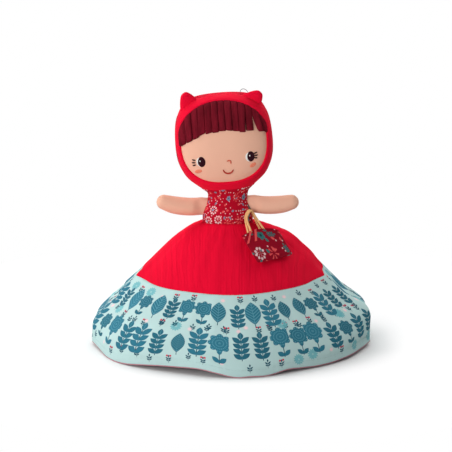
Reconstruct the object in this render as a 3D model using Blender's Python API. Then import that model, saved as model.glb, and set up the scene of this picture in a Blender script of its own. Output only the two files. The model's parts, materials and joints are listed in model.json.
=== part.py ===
"""Topsy turvy doll: two cloth dolls joined at the waist, sharing one skirt of two cloths.

The upper doll wears a red hood with two small ears and stands in a wide red skirt with a printed
border. The lower doll hangs head down inside the skirt and shows when the skirt is turned over.
Run it with blender --background --python part.py. Lengths are metres and +Z is up. The upper doll
faces -Y, left is -X, and the origin is on the floor under the body's axis.
"""

import math
from collections import namedtuple

import bmesh
import bpy
from mathutils import Matrix, Vector

# Cloth and clearances
CLOTH = 0.0010
SEAM_GAP = 0.0003
LINING_GAP = 0.0004
SKIRT_STACK = 2 * CLOTH + LINING_GAP
FILL_GAP = 0.0003
BALL_GAP = 0.0004
FLOOR_CUT = 0.0005

# Skirt
WAIST_HEIGHT = 0.129
HEM_RADIUS = 0.150
HEM_BAND = 0.008
WAVE_DEPTH = 0.0040
WAVE_LIFT = 0.0026
WAVE_COUNT = 6
WAVE_PHASE = math.radians(5.0)
RIDGE_DEPTH = 0.0065
RIDGE_HALF_ANGLE = math.radians(15.0)
SIDE_SEAM_ANGLE = math.radians(82.5)
SKIRT_LEAN = 0.0050
HEM_SHIFT = 0.0013
WAIST_CLEARANCE = 0.0006
BORDER_START_SHARE = 0.49
RIDGE_START_SHARE = 0.33
# Puff of the skirt behind its right side, towards the waist
PUFF_DEPTH = 0.0180
PUFF_AZIMUTH = math.radians(116.0)
PUFF_HALF_ANGLE = math.radians(46.0)
PUFF_FULL_SHARE = 0.25
SKIRT_COLUMN_COUNT = 48
TOP_ROW_COUNT = 5
BORDER_ROW_COUNT = 4
HEM_ROW_COUNT = 2
# Side view from waist to hem: (share of the way out to the hem, share of the waist height)
SKIRT_SIDE_SHARES = (
    (0.0, 1.0),
    (0.07, 0.985),
    (0.16, 0.935),
    (0.31, 0.822),
    (0.56, 0.585),
    (0.82, 0.350),
    (0.94, 0.205),
    (0.99, 0.090),
    (1.0, 0.0),
)

# Bodies, heads and limbs of the two dolls
WAIST_HALF_WIDTH = 0.0265
WAIST_HALF_DEPTH = 0.0205
NECK_HALF_WIDTH = 0.0208
NECK_HALF_DEPTH = 0.0156
NECK_RISE = 0.0040
NECK_SLACK = 0.0060
NECK_FILL_DROP = 0.0015
UPPER_BODICE_HEIGHT = 0.0350
LOWER_BODICE_HEIGHT = 0.0350
BODICE_COLUMN_COUNT = 24
BODICE_ROW_COUNT = 4
ARM_COLUMN_COUNT = 12
ARM_ROW_COUNT = 5
ARM_HEIGHT_SHARE = 0.50
SHOULDER_HALF_SPAN = 0.0270
ARM_ROOT_RADIUS = 0.0092
ARM_MIDDLE_RADIUS = 0.0094
ARM_TIP_RADIUS = 0.0074
ARM_REACH = 0.0405
ARM_TIP_RISE = 0.0045
# Middle line of an arm: (share of its reach, share of its tip's rise)
ARM_LINE_SHARES = ((0.0, 0.0), (0.35, -0.15), (0.72, 0.25), (1.0, 1.0))
# Stretch of that line, to each side of a ring, which gives the ring's heading
ARM_HEADING_SHARE = 0.05
CAP_ANGLES = (math.radians(30.0), math.radians(60.0))
NECK_COLUMN_COUNT = 4
NECK_ARC_COUNT = 6
HEAD_SIDE_COLUMN_COUNT = 11
FACE_BAND_COUNT = 3
RIM_BAND_COUNT = 3
BACK_BAND_COUNT = 5

# The face opening leaves the hood this wide: face_side beside it, face_crown above it, and
# face_chin below it, down to the neck seam
Doll = namedtuple(
    "Doll",
    "prefix cover bodice_height head_height head_half_width head_half_depth "
    "face_side face_crown face_chin tilt arm_raise fringe_strips",
)
UPPER = Doll(
    prefix="upper",
    cover="hood",
    bodice_height=UPPER_BODICE_HEIGHT,
    head_height=0.1068,
    head_half_width=0.0512,
    head_half_depth=0.0330,
    face_side=0.0062,
    face_crown=0.0038,
    face_chin=0.0170,
    tilt=math.radians(-4.5),
    arm_raise=0.0,
    fringe_strips=13,
)
# The crown of the lower doll's head stands on the floor, cut flat there
LOWER = Doll(
    prefix="lower",
    cover="bonnet",
    bodice_height=LOWER_BODICE_HEIGHT,
    head_height=WAIST_HEIGHT - SKIRT_STACK - LOWER_BODICE_HEIGHT + FLOOR_CUT,
    head_half_width=0.0445,
    head_half_depth=0.0300,
    face_side=0.0070,
    face_crown=0.0061,
    face_chin=0.0160,
    tilt=0.0,
    arm_raise=math.radians(36.0),
    fringe_strips=11,
)

# Head outline above the neck seam: (share of the half width, share of the height)
HEAD_SIDE_SHARES = (
    (0.62, 0.08),
    (0.80, 0.16),
    (0.90, 0.24),
    (0.97, 0.33),
    (1.00, 0.45),
    (0.995, 0.60),
    (0.96, 0.735),
    (0.89, 0.83),
    (0.78, 0.915),
    (0.60, 0.970),
    (0.30, 0.995),
    (0.0, 1.0),
)
# Half depth of a head above its neck: (share of the half depth, share of the height)
HEAD_DEPTH_SHARES = (
    (0.46, 0.0),
    (0.64, 0.08),
    (0.78, 0.17),
    (0.92, 0.31),
    (1.00, 0.48),
    (0.97, 0.64),
    (0.86, 0.78),
    (0.70, 0.89),
    (0.48, 0.96),
    (0.24, 0.993),
    (0.0, 1.0),
)
NECK_BLEND_SHARE = 0.13
HEAD_SECTION_POWER = 2.35
FACE_POWER = 2.25

# Ears on the hood
EAR_WIDTH = 0.0200
EAR_HEIGHT = 0.0105
EAR_ROOT = 0.0080
EAR_THICKNESS = 0.0064
EAR_LEAN = math.radians(14.0)
# Foot of each ear on the hood: (share of the head's half width, share of its height)
EAR_LEFT_SHARES = (-0.65, 0.948)
EAR_RIGHT_SHARES = (0.71, 0.915)
EAR_COLUMN_COUNT = 14
# Rings of an ear from its front to its back, as shares of a quarter turn
EAR_RING_SHARES = (0.45, 0.8, 1.0, 1.2, 1.55)
EAR_OUTLINE_SHARES = (
    (0.0, 1.0),
    (0.24, 0.90),
    (0.40, 0.62),
    (0.50, 0.0),
    (0.50, -0.75),
)

# Loop of thread on top of the hood
LOOP_SPAN = 0.0080
LOOP_HEIGHT = 0.0046
LOOP_THREAD = 0.0007
LOOP_SPAN_SHARE = 0.42
LOOP_POINT_COUNT = 13

# Hair fringe
FRINGE_THICKNESS = 0.0013
FRINGE_LIFT = 0.0007
FRINGE_SLIT = 0.0007
FRINGE_HEADER_SHARE = 0.12
FRINGE_ROW_COUNT = 3
# Lower edge of the fringe: (share of the face half width, share of the face half height)
FRINGE_EDGE_SHARES = (
    (-1.0, -0.09),
    (-0.72, 0.07),
    (-0.35, 0.24),
    (0.0, 0.28),
    (0.35, 0.23),
    (0.72, 0.18),
    (1.0, 0.13),
)
FRINGE_SPAN_SHARE = 0.93
FRINGE_TOP_SHARE = 0.985

# Basket lying on the skirt, its handles and the knot that holds them
BASKET_TOP_WIDTH = 0.0480
BASKET_BOTTOM_WIDTH = 0.0410
BASKET_HEIGHT = 0.0350
BASKET_BULGE = 0.0020
BASKET_AZIMUTH = math.radians(45.0)
BASKET_TURN = math.radians(-12.0)
BASKET_RADIUS = 0.0560
BASKET_REST_GAP = 0.0004
BASKET_COLUMN_COUNT = 6
BASKET_ROW_COUNT = 5
HANDLE_CORD = 0.0030
HANDLE_HALF_SPAN = 0.0095
HANDLE_POINT_COUNT = 26
HANDLE_APART = 0.0019
KNOT_RADIUS = 0.0020
KNOT_AZIMUTH = math.radians(58.0)
KNOT_RISE = 0.0112
KNOT_GAP = 0.0004
HANDLE_LOOP = 0.0047
SKIRT_STEP_SHARE = 0.002
# Where each leg leaves the knot: (share of the loop's radius to the side, share of it down)
HANDLE_SIDE_SHARES = (1.25, 0.50)

# Worked out from the sizes above
CORE_INSET = CLOTH + FILL_GAP
BALL_RADIUS = math.hypot(NECK_HALF_WIDTH - CLOTH, NECK_RISE + NECK_SLACK) - BALL_GAP
BALL_DEPTH_SHARE = (NECK_HALF_DEPTH - CLOTH - BALL_GAP) / (NECK_HALF_WIDTH - CLOTH - BALL_GAP)

COLOURS = {
    "red_jersey": (0.72, 0.012, 0.045),
    "red_gauze": (0.68, 0.010, 0.040),
    "skin": (0.86, 0.56, 0.42),
    "burgundy": (0.13, 0.008, 0.020),
    "dark_print": (0.38, 0.008, 0.025),
    "mint_print": (0.43, 0.71, 0.69),
    "pink_lining": (0.55, 0.24, 0.29),
    "pink_print": (0.72, 0.33, 0.38),
    "mint_jersey": (0.36, 0.66, 0.63),
    "brown_velour": (0.16, 0.05, 0.025),
    "cord": (0.78, 0.52, 0.25),
    "thread": (0.30, 0.30, 0.32),
    "fibre": (0.85, 0.85, 0.83),
}


def material(name):
    """The Principled material of this name, made when first asked for."""
    found = bpy.data.materials.get(name)
    if found:
        return found
    made = bpy.data.materials.new(name)
    made.use_nodes = True
    shader = made.node_tree.nodes["Principled BSDF"]
    shader.inputs["Base Color"].default_value = (*COLOURS[name], 1.0)
    shader.inputs["Roughness"].default_value = 0.9
    shader.inputs["Metallic"].default_value = 0.0
    return made


def add_piece(name, points, faces, colour, parent):
    """One named mesh object with its material, shaded smooth, under its parent empty."""
    mesh = bpy.data.meshes.new(name)
    mesh.from_pydata([tuple(point) for point in points], [], faces)
    mesh.materials.append(material(colour))
    mesh.shade_smooth()
    piece = bpy.data.objects.new(name, mesh)
    bpy.context.scene.collection.objects.link(piece)
    piece.parent = parent
    return piece


def add_empty(name, place, turn=0.0, parent=None):
    """An empty on a joint's axis, turned about its own Y axis."""
    empty = bpy.data.objects.new(name, None)
    bpy.context.scene.collection.objects.link(empty)
    empty.location = place
    empty.rotation_euler = (0.0, turn, 0.0)
    empty.parent = parent
    return empty


def cut_away(piece, cutter):
    """Takes the cutter's shape out of the piece with a Boolean."""
    cutter.hide_render = True
    cutter.display_type = "WIRE"
    modifier = piece.modifiers.new("cut", "BOOLEAN")
    modifier.operation = "DIFFERENCE"
    modifier.solver = "EXACT"
    modifier.object = cutter


def cut_flat(piece, height, up):
    """Cuts a piece flat at a height of its own frame, and keeps the side away from up."""
    shape = bmesh.new()
    shape.from_mesh(piece.data)
    geometry = shape.verts[:] + shape.edges[:] + shape.faces[:]
    bmesh.ops.bisect_plane(
        shape,
        geom=geometry,
        plane_co=(0.0, 0.0, height),
        plane_no=(0.0, 0.0, up),
        clear_outer=True,
    )
    rims = [edge for edge in shape.edges if edge.is_boundary]
    bmesh.ops.holes_fill(shape, edges=rims)
    shape.to_mesh(piece.data)
    shape.free()


def smooth_through(points, steps):
    """A smooth (Catmull-Rom) line through the points, with steps stretches between each two."""
    ends = [points[0], *points, points[-1]]
    line = []
    for a, b, c, d in zip(ends, ends[1:], ends[2:], ends[3:], strict=False):
        a, b, c, d = Vector(a), Vector(b), Vector(c), Vector(d)
        for step in range(steps):
            t = step / steps
            line.append(
                0.5
                * (
                    2 * b
                    + (c - a) * t
                    + (2 * a - 5 * b + 4 * c - d) * t * t
                    + (3 * b - a - 3 * c + d) * t * t * t
                )
            )
    line.append(Vector(points[-1]))
    return line


def along(line, share):
    """The point at a share of the line's length."""
    lengths = [(b - a).length for a, b in zip(line, line[1:], strict=False)]
    left = share * sum(lengths)
    for start, end, length in zip(line, line[1:], lengths, strict=False):
        if left <= length:
            return start.lerp(end, left / length) if length else start.copy()
        left -= length
    return line[-1].copy()


def look_up(line, value, key, wanted):
    """Reads a line as a table: the wanted coordinate where the key coordinate has this value."""
    for a, b in zip(line, line[1:], strict=False):
        low, high = sorted((a[key], b[key]))
        if low <= value <= high:
            span = b[key] - a[key]
            t = (value - a[key]) / span if span else 0.0
            return a[wanted] + (b[wanted] - a[wanted]) * t
    return line[-1][wanted] if value > line[-1][key] else line[0][wanted]


class Surface:
    """A grid of points with outward normals. Rows follow the piece, and a row of one point is a pole."""

    def __init__(self, rows, closed=True, flip=False):
        self.points = []
        self.cells = {}
        index = []
        for row in rows:
            index.append(range(len(self.points), len(self.points) + len(row)))
            self.points.extend(row)
        columns = max(len(row) for row in rows)
        for i, (upper, lower) in enumerate(zip(index, index[1:], strict=False)):
            for j in range(columns if closed else columns - 1):
                corners = (
                    upper[j % len(upper)],
                    lower[j % len(lower)],
                    lower[(j + 1) % len(lower)],
                    upper[(j + 1) % len(upper)],
                )
                ring = list(dict.fromkeys(corners))
                self.cells[i, j] = ring[::-1] if flip else ring
        self.first, self.last = index[0], index[-1]
        self.normals = self.outward()

    def outward(self):
        sums = [Vector((0.0, 0.0, 0.0)) for _ in self.points]
        for ring in self.cells.values():
            corner = self.points[ring[0]]
            area = Vector((0.0, 0.0, 0.0))
            for a, b in zip(ring[1:], ring[2:], strict=False):
                area += (self.points[a] - corner).cross(self.points[b] - corner)
            for v in ring:
                sums[v] += area
        return [total.normalized() for total in sums]

    def share_normal(self, points):
        """Gives points beside a seam one normal, so that the cloths they bound stay apart."""
        shared = sum((self.normals[v] for v in points), Vector((0.0, 0.0, 0.0))).normalized()
        for v in points:
            self.normals[v] = shared

    def at(self, v, rise):
        return self.points[v] + self.normals[v] * rise


def cloth_piece(name, surface, keep, outer, inner, colour, parent=None):
    """The kept cells of a surface as one thick cloth, from outer down to inner, with closed edges."""
    cells = [ring for key, ring in surface.cells.items() if keep(*key)]
    used = sorted({v for ring in cells for v in ring})
    place = {v: n for n, v in enumerate(used)}
    count = len(used)
    points = [surface.at(v, outer) for v in used] + [surface.at(v, inner) for v in used]
    faces = [[place[v] for v in ring] for ring in cells]
    faces += [[place[v] + count for v in [ring[0], *ring[:0:-1]]] for ring in cells]
    sides = {pair for ring in cells for pair in zip(ring, ring[1:] + ring[:1], strict=True)}
    for a, b in sorted(sides):
        if (b, a) not in sides:
            faces.append([place[b], place[a], place[a] + count, place[b] + count])
    return add_piece(name, points, faces, colour, parent)


def filled_piece(name, surface, rise, colour, parent=None):
    """The whole surface as one solid, moved out by rise, with flat ends where a row is no pole."""
    points = [surface.at(v, rise) for v in range(len(surface.points))]
    faces = list(surface.cells.values())
    faces += [list(row) for row in (surface.first, surface.last) if len(row) > 1]
    piece = add_piece(name, points, faces, colour, parent)
    shape = bmesh.new()
    shape.from_mesh(piece.data)
    bmesh.ops.recalc_face_normals(shape, faces=shape.faces)
    shape.to_mesh(piece.data)
    shape.free()
    return piece


def ball(name, radii, colour, parent, columns=20):
    """An ellipsoid round its parent's origin, turned about its Y axis."""
    rows = [[Vector((0.0, -radii[1], 0.0))]]
    bands = columns // 2
    for band in range(1, bands):
        polar = math.pi * band / bands
        rows.append(
            [
                Vector(
                    (
                        radii[0] * math.sin(polar) * math.cos(2 * math.pi * j / columns),
                        -radii[1] * math.cos(polar),
                        radii[0] * math.sin(polar) * math.sin(2 * math.pi * j / columns),
                    )
                )
                for j in range(columns)
            ]
        )
    rows.append([Vector((0.0, radii[1], 0.0))])
    return filled_piece(name, Surface(rows), 0.0, colour, parent)


def tube(name, points, diameter, colour, parent):
    """A cord or thread: a curve with a round bevel and filled caps."""
    curve = bpy.data.curves.new(name, "CURVE")
    curve.dimensions = "3D"
    curve.bevel_depth = diameter / 2
    curve.bevel_resolution = 1
    curve.use_fill_caps = True
    spline = curve.splines.new("POLY")
    spline.points.add(len(points) - 1)
    for target, point in zip(spline.points, points, strict=True):
        target.co = (*point, 1.0)
    spline.use_smooth = True
    curve.materials.append(material(colour))
    piece = bpy.data.objects.new(name, curve)
    bpy.context.scene.collection.objects.link(piece)
    piece.parent = parent
    return piece


# Skirt: one surface from the waist to the hem, which its cloths and folds all follow
SKIRT_SIDE = smooth_through([(*share, 0.0) for share in SKIRT_SIDE_SHARES], 8)


def around(angle):
    """Level direction at an angle from the front, turning towards +X."""
    return Vector((math.sin(angle), -math.cos(angle), 0.0))


def oval_radius(angle, half_width, half_depth):
    """Radius of an oval with these half axes, at an angle from the front."""
    return 1 / math.hypot(math.sin(angle) / half_width, math.cos(angle) / half_depth)


def ridge_at(angle, share):
    """Height share of the sharp side folds, which run down from the border's corners."""
    nearest = min(abs(abs(angle) - SIDE_SEAM_ANGLE), RIDGE_HALF_ANGLE)
    ramp = (share - RIDGE_START_SHARE) / (BORDER_START_SHARE - RIDGE_START_SHARE)
    return (1 - nearest / RIDGE_HALF_ANGLE) ** 1.5 * min(max(ramp, 0.0), 1.0)


def puff_at(angle, share):
    """Share of the puff's depth: nothing at the waist, at the hem and away from its middle."""
    away = min(abs(angle - PUFF_AZIMUTH) / PUFF_HALF_ANGLE, 1.0)
    rise = min(share / PUFF_FULL_SHARE, 1.0)
    return math.cos(away * math.pi / 2) ** 2 * rise * rise * (3 - 2 * rise) * (1 - share) ** 0.7


def skirt_point(share, angle, seam=0):
    """The skirt's outer face at a share of the way down, beside a side seam where seam is -1 or 1."""
    side = along(SKIRT_SIDE, share)
    inset = CORE_INSET - FILL_GAP - WAIST_CLEARANCE
    start = oval_radius(angle, WAIST_HALF_WIDTH - inset, WAIST_HALF_DEPTH - inset)
    wave = math.cos(WAVE_COUNT * (angle - WAVE_PHASE)) * share**2
    radius = start + side.x * (HEM_RADIUS - WAVE_DEPTH - start) + WAVE_DEPTH * wave
    radius += RIDGE_DEPTH * ridge_at(angle, share) + PUFF_DEPTH * puff_at(angle, share)
    lift = WAVE_LIFT * (share**3 - wave * share) / 2 - FLOOR_CUT * share**3
    turned = angle + seam * SEAM_GAP / 2 / radius
    shift = -SKIRT_LEAN * side.y - HEM_SHIFT * (1 - side.y)
    return around(turned) * radius + Vector((shift, 0.0, side.y * WAIST_HEIGHT + lift))


def even_shares(start, end, count):
    """Shares from start to end in count equal steps."""
    return [start + (end - start) * step / count for step in range(count + 1)]


def skirt_columns():
    """(angle, seam side) of each column, doubled at the two side seams."""
    columns = []
    for step in range(SKIRT_COLUMN_COUNT):
        angle = 2 * math.pi * step / SKIRT_COLUMN_COUNT - math.pi
        at_seam = abs(abs(angle) - SIDE_SEAM_ANGLE) < math.pi / SKIRT_COLUMN_COUNT / 2
        columns += [(angle, -1), (angle, 1)] if at_seam else [(angle, 0)]
    return columns


def make_skirt():
    slant = sum((b - a).length for a, b in zip(SKIRT_SIDE, SKIRT_SIDE[1:], strict=False))
    slant *= (HEM_RADIUS + WAIST_HEIGHT) / 2
    half_gap = SEAM_GAP / slant / 2
    hem_share = 1 - HEM_BAND / slant
    shares = even_shares(0.0, BORDER_START_SHARE - half_gap, TOP_ROW_COUNT)
    shares += even_shares(BORDER_START_SHARE + half_gap, hem_share - half_gap, BORDER_ROW_COUNT)
    shares += even_shares(hem_share + half_gap, 1.0, HEM_ROW_COUNT)
    columns = skirt_columns()
    surface = Surface(
        [[skirt_point(share, *column) for column in columns] for share in shares]
    )
    seams = [j for j, (_, seam) in enumerate(columns) if seam == -1]
    top_last = TOP_ROW_COUNT - 1
    border_first = TOP_ROW_COUNT + 1
    border_last = border_first + BORDER_ROW_COUNT - 1
    hem_first = border_last + 2
    for row in range(len(shares)):
        if row in (border_first, hem_first):
            continue
        rows = [row, row + 1] if row + 1 in (border_first, hem_first) else [row]
        for j in range(len(columns)):
            if j - 1 in seams:
                continue
            beside = [j, j + 1] if j in seams else [j]
            surface.share_normal([r * len(columns) + c for r in rows for c in beside])

    def front(j):
        return seams[0] < j < seams[1]

    def back(j):
        return j < seams[0] or j > seams[1]

    for half, is_half in (("front", front), ("back", back)):
        cloth_piece(
            f"skirt_top_{half}",
            surface,
            lambda i, j, is_half=is_half: i <= top_last and is_half(j),
            0.0,
            -CLOTH,
            "red_gauze",
        )
        cloth_piece(
            f"skirt_border_{half}",
            surface,
            lambda i, j, is_half=is_half: border_first <= i <= border_last and is_half(j),
            0.0,
            -CLOTH,
            "mint_print",
        )
    cloth_piece(
        "skirt_lining",
        surface,
        lambda i, j: i <= border_last,
        CLOTH - SKIRT_STACK,
        -SKIRT_STACK,
        "pink_lining",
    )
    hem = cloth_piece(
        "skirt_hem", surface, lambda i, j: i >= hem_first, 0.0, -SKIRT_STACK, "mint_print"
    )
    cut_flat(hem, 0.0, -1.0)


# Bodies: an oval tube from the waist to the neck, the same for both dolls


def body_half_axes(share):
    """Half width and half depth of a bodice at a share of the way up to its neck edge."""
    ease = share * share * (3 - 2 * share)
    width = WAIST_HALF_WIDTH + (NECK_HALF_WIDTH - WAIST_HALF_WIDTH) * ease
    depth = WAIST_HALF_DEPTH + (NECK_HALF_DEPTH - WAIST_HALF_DEPTH) * ease
    return width, depth


def body_rows(start, end, top, count):
    """Level rings of the body's outer face between two heights above the waist."""
    rows = []
    for height in even_shares(start, end, count):
        width, depth = body_half_axes(min(max(height / top, 0.0), 1.0))
        ring = []
        for column in range(BODICE_COLUMN_COUNT):
            angle = 2 * math.pi * column / BODICE_COLUMN_COUNT
            radius = oval_radius(angle, width, depth)
            ring.append(around(angle) * radius + Vector((0.0, 0.0, height)))
        rows.append(ring)
    return rows


def neck_edge(doll):
    return doll.bodice_height - NECK_SLACK


def make_bodice(doll, parent):
    rows = body_rows(SEAM_GAP, neck_edge(doll), neck_edge(doll), BODICE_ROW_COUNT)
    return cloth_piece(
        f"{doll.prefix}_bodice",
        Surface(rows, flip=True),
        lambda i, j: True,
        0.0,
        -CLOTH,
        "dark_print" if doll is UPPER else "pink_print",
        parent,
    )


def make_body_stuffing(upper_parent):
    """One fibre core through the waist, which both bodices and the skirt's waist edge wrap."""
    up = neck_edge(UPPER) - NECK_FILL_DROP
    down = neck_edge(LOWER) - NECK_FILL_DROP
    upper_rows = body_rows(0.0, up, neck_edge(UPPER), BODICE_ROW_COUNT)
    lower_rows = body_rows(0.0, down, neck_edge(LOWER), BODICE_ROW_COUNT)
    turned = [
        [Vector((p.x, p.y, -p.z - SKIRT_STACK)) for p in row] for row in reversed(lower_rows)
    ]
    return filled_piece(
        "body_stuffing",
        Surface(turned + upper_rows, flip=True),
        -CORE_INSET,
        "fibre",
        upper_parent,
    )


# Arms


def arm_rows(side):
    """Rings of a stuffed arm from its round root to its tip.

    The side is 1 towards +X and -1 towards -X.
    """
    middle = [(ARM_REACH * out, 0.0, ARM_TIP_RISE * up) for out, up in ARM_LINE_SHARES]
    axis = smooth_through(middle, 4)
    rows = []

    def ring(centre, heading, radius):
        level = Vector((-heading.z, 0.0, heading.x))
        return [
            centre
            + (level * math.cos(turn) + Vector((0.0, 1.0, 0.0)) * math.sin(turn)) * radius
            for turn in (2 * math.pi * j / ARM_COLUMN_COUNT for j in range(ARM_COLUMN_COUNT))
        ]

    first = (axis[1] - axis[0]).normalized()
    rows.append([axis[0] - first * ARM_ROOT_RADIUS])
    for polar in CAP_ANGLES:
        centre = axis[0] - first * ARM_ROOT_RADIUS * math.cos(polar)
        rows.append(ring(centre, first, ARM_ROOT_RADIUS * math.sin(polar)))
    for share in even_shares(0.0, 1.0, ARM_ROW_COUNT):
        before = along(axis, max(share - ARM_HEADING_SHARE, 0.0))
        after = along(axis, min(share + ARM_HEADING_SHARE, 1.0))
        taper = ARM_ROOT_RADIUS + (ARM_TIP_RADIUS - ARM_ROOT_RADIUS) * share
        swell = (ARM_MIDDLE_RADIUS - ARM_TIP_RADIUS) * 4 * share * share * (1 - share)
        rows.append(ring(along(axis, share), (after - before).normalized(), taper + swell))
    last = (axis[-1] - axis[-2]).normalized()
    for polar in reversed(CAP_ANGLES):
        centre = axis[-1] + last * ARM_TIP_RADIUS * math.cos(polar)
        rows.append(ring(centre, last, ARM_TIP_RADIUS * math.sin(polar)))
    rows.append([axis[-1] + last * ARM_TIP_RADIUS])
    return [[Vector((p.x * side, p.y, p.z)) for p in row] for row in rows]


def make_arm(doll, side, parent):
    """A skin cover, open at its root, over its stuffing, on an empty at the shoulder."""
    faces_right = side > 0 if doll is UPPER else side < 0
    name = f"{doll.prefix}_arm_{'right' if faces_right else 'left'}"
    height = doll.bodice_height * ARM_HEIGHT_SHARE
    shoulder = add_empty(
        f"{name}_joint",
        (SHOULDER_HALF_SPAN * side, 0.0, height),
        -side * doll.arm_raise,
        parent,
    )
    surface = Surface(arm_rows(side), flip=side < 0)
    cloth_piece(name, surface, lambda i, j: i > 0, 0.0, -CLOTH, "skin", shoulder)
    filled_piece(f"{name}_stuffing", surface, -CORE_INSET, "fibre", shoulder)
    return ball(
        f"{name}_cutter",
        (ARM_ROOT_RADIUS + BALL_GAP, ARM_ROOT_RADIUS + BALL_GAP),
        "skin",
        shoulder,
        columns=24,
    )


# Heads: a front view outline and level oval sections give every point of a head's surface
HEAD_DEPTH_LINE = smooth_through([(*share, 0.0) for share in HEAD_DEPTH_SHARES], 6)


class HeadShape:
    """A stuffed head in a frame whose origin is the neck joint, which lies above the neck seam."""

    def __init__(self, doll):
        self.doll = doll
        self.seam = -NECK_RISE
        self.face_half_width = doll.head_half_width - doll.face_side
        self.face_half_height = (doll.head_height - doll.face_chin - doll.face_crown) / 2
        self.centre = Vector((0.0, self.seam + doll.face_chin + self.face_half_height, 0.0))
        seam_angle = math.asin(NECK_RISE / BALL_RADIUS)
        arc = [
            (BALL_RADIUS * math.cos(turn), -BALL_RADIUS * math.sin(turn), 0.0)
            for turn in even_shares(math.pi / 2, seam_angle, NECK_ARC_COUNT)
        ]
        sides = [
            (x * doll.head_half_width, self.seam + z * doll.head_height, 0.0)
            for x, z in HEAD_SIDE_SHARES
        ]
        self.neck_side = smooth_through(arc, 6)
        self.head_side = smooth_through([arc[-1], *sides], 6)
        self.side = self.neck_side + self.head_side[1:]

    def half_width(self, height):
        return max(look_up(self.side, height, 1, 0), SEAM_GAP)

    def above_neck(self, height):
        """0 on the round neck, rising to 1 where the head has its own section."""
        share = (height - self.seam) / (self.doll.head_height * NECK_BLEND_SHARE)
        return min(max(share, 0.0), 1.0)

    def half_depth(self, height):
        doll = self.doll
        share = (height - self.seam) / doll.head_height
        full = doll.head_half_depth * look_up(HEAD_DEPTH_LINE, share, 1, 0)
        neck = BALL_DEPTH_SHARE * self.half_width(height)
        return neck + (full - neck) * self.above_neck(height)

    def point(self, x, height, front):
        """The surface's point in front of (or behind) a place in the front view."""
        power = 2 + (HEAD_SECTION_POWER - 2) * self.above_neck(height)
        inside = max(1 - min(abs(x) / self.half_width(height), 1.0) ** power, 0.0)
        depth = self.half_depth(height) * inside ** (1 / power)
        return Vector((x, -depth if front else depth, height))

    def opening_radius(self, angle):
        """Radius of the face opening from its centre, at an angle from straight up."""
        wide = abs(math.sin(angle)) / self.face_half_width
        tall = abs(math.cos(angle)) / self.face_half_height
        return (wide**FACE_POWER + tall**FACE_POWER) ** (-1 / FACE_POWER)

    def rows(self):
        """Rings from the middle of the face over the edge of the head to the middle of its back."""
        head_shares = even_shares(1.0, 0.0, HEAD_SIDE_COLUMN_COUNT)
        neck_shares = even_shares(1.0, 0.0, NECK_COLUMN_COUNT)[1:]
        half = [along(self.head_side, share) for share in head_shares]
        half += [along(self.neck_side, share) for share in neck_shares]
        outline = half + [Vector((-p.x, p.y, 0.0)) for p in reversed(half[1:-1])]
        spokes = []
        for edge in outline:
            spoke = edge - self.centre
            angle = math.atan2(spoke.x, spoke.y)
            spokes.append((spoke, self.opening_radius(angle) / spoke.length))

        def ring(front, polar_of):
            line = []
            for spoke, opening in spokes:
                place = self.centre + spoke * math.sin(polar_of(spoke, opening))
                line.append(self.point(place.x, place.y, front))
            return line

        quarter = math.pi / 2
        rows = [[self.point(self.centre.x, self.centre.y, True)]]
        for band in range(1, FACE_BAND_COUNT):
            rows.append(ring(True, lambda s, o, t=band / FACE_BAND_COUNT: math.asin(o) * t))
        rows.append(ring(True, lambda s, o: math.asin(o - SEAM_GAP / s.length)))
        for band in range(RIM_BAND_COUNT):
            rows.append(
                ring(True, lambda s, o, t=band / RIM_BAND_COUNT: math.asin(o) * (1 - t) + quarter * t)
            )
        rows.append(ring(True, lambda s, o: quarter))
        for band in range(1, BACK_BAND_COUNT):
            rows.append(ring(False, lambda s, o, t=band / BACK_BAND_COUNT: quarter * (1 - t)))
        rows.append([self.point(self.centre.x, self.centre.y, False)])
        return rows


def make_head(doll, parent):
    """Cover, face, stuffing, hair and trimmings of one head, and the neck empty that carries them."""
    neck = add_empty(
        f"{doll.prefix}_head_joint",
        (0.0, 0.0, doll.bodice_height + NECK_RISE),
        doll.tilt,
        parent,
    )
    shape = HeadShape(doll)
    surface = Surface(shape.rows(), flip=True)
    cover_first = FACE_BAND_COUNT + 1
    cover = cloth_piece(
        f"{doll.prefix}_{doll.cover}",
        surface,
        lambda i, j: i >= cover_first,
        0.0,
        -CLOTH,
        "red_jersey" if doll is UPPER else "mint_jersey",
        neck,
    )
    cloth_piece(
        f"{doll.prefix}_face", surface, lambda i, j: i < FACE_BAND_COUNT, 0.0, -CLOTH, "skin", neck
    )
    filled_piece(f"{doll.prefix}_head_stuffing", surface, -CORE_INSET, "fibre", neck)
    make_fringe(doll, shape, neck)
    if doll is UPPER:
        shell = filled_piece("hood_cutter", surface, SEAM_GAP, "red_jersey", neck)
        for name, shares in (("left", EAR_LEFT_SHARES), ("right", EAR_RIGHT_SHARES)):
            cut_away(make_ear(shape, name, shares, neck), shell)
        make_hang_loop(shape, neck)
    else:
        cut_flat(cover, shape.seam + doll.head_height - FLOOR_CUT, 1.0)
    return neck


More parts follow.
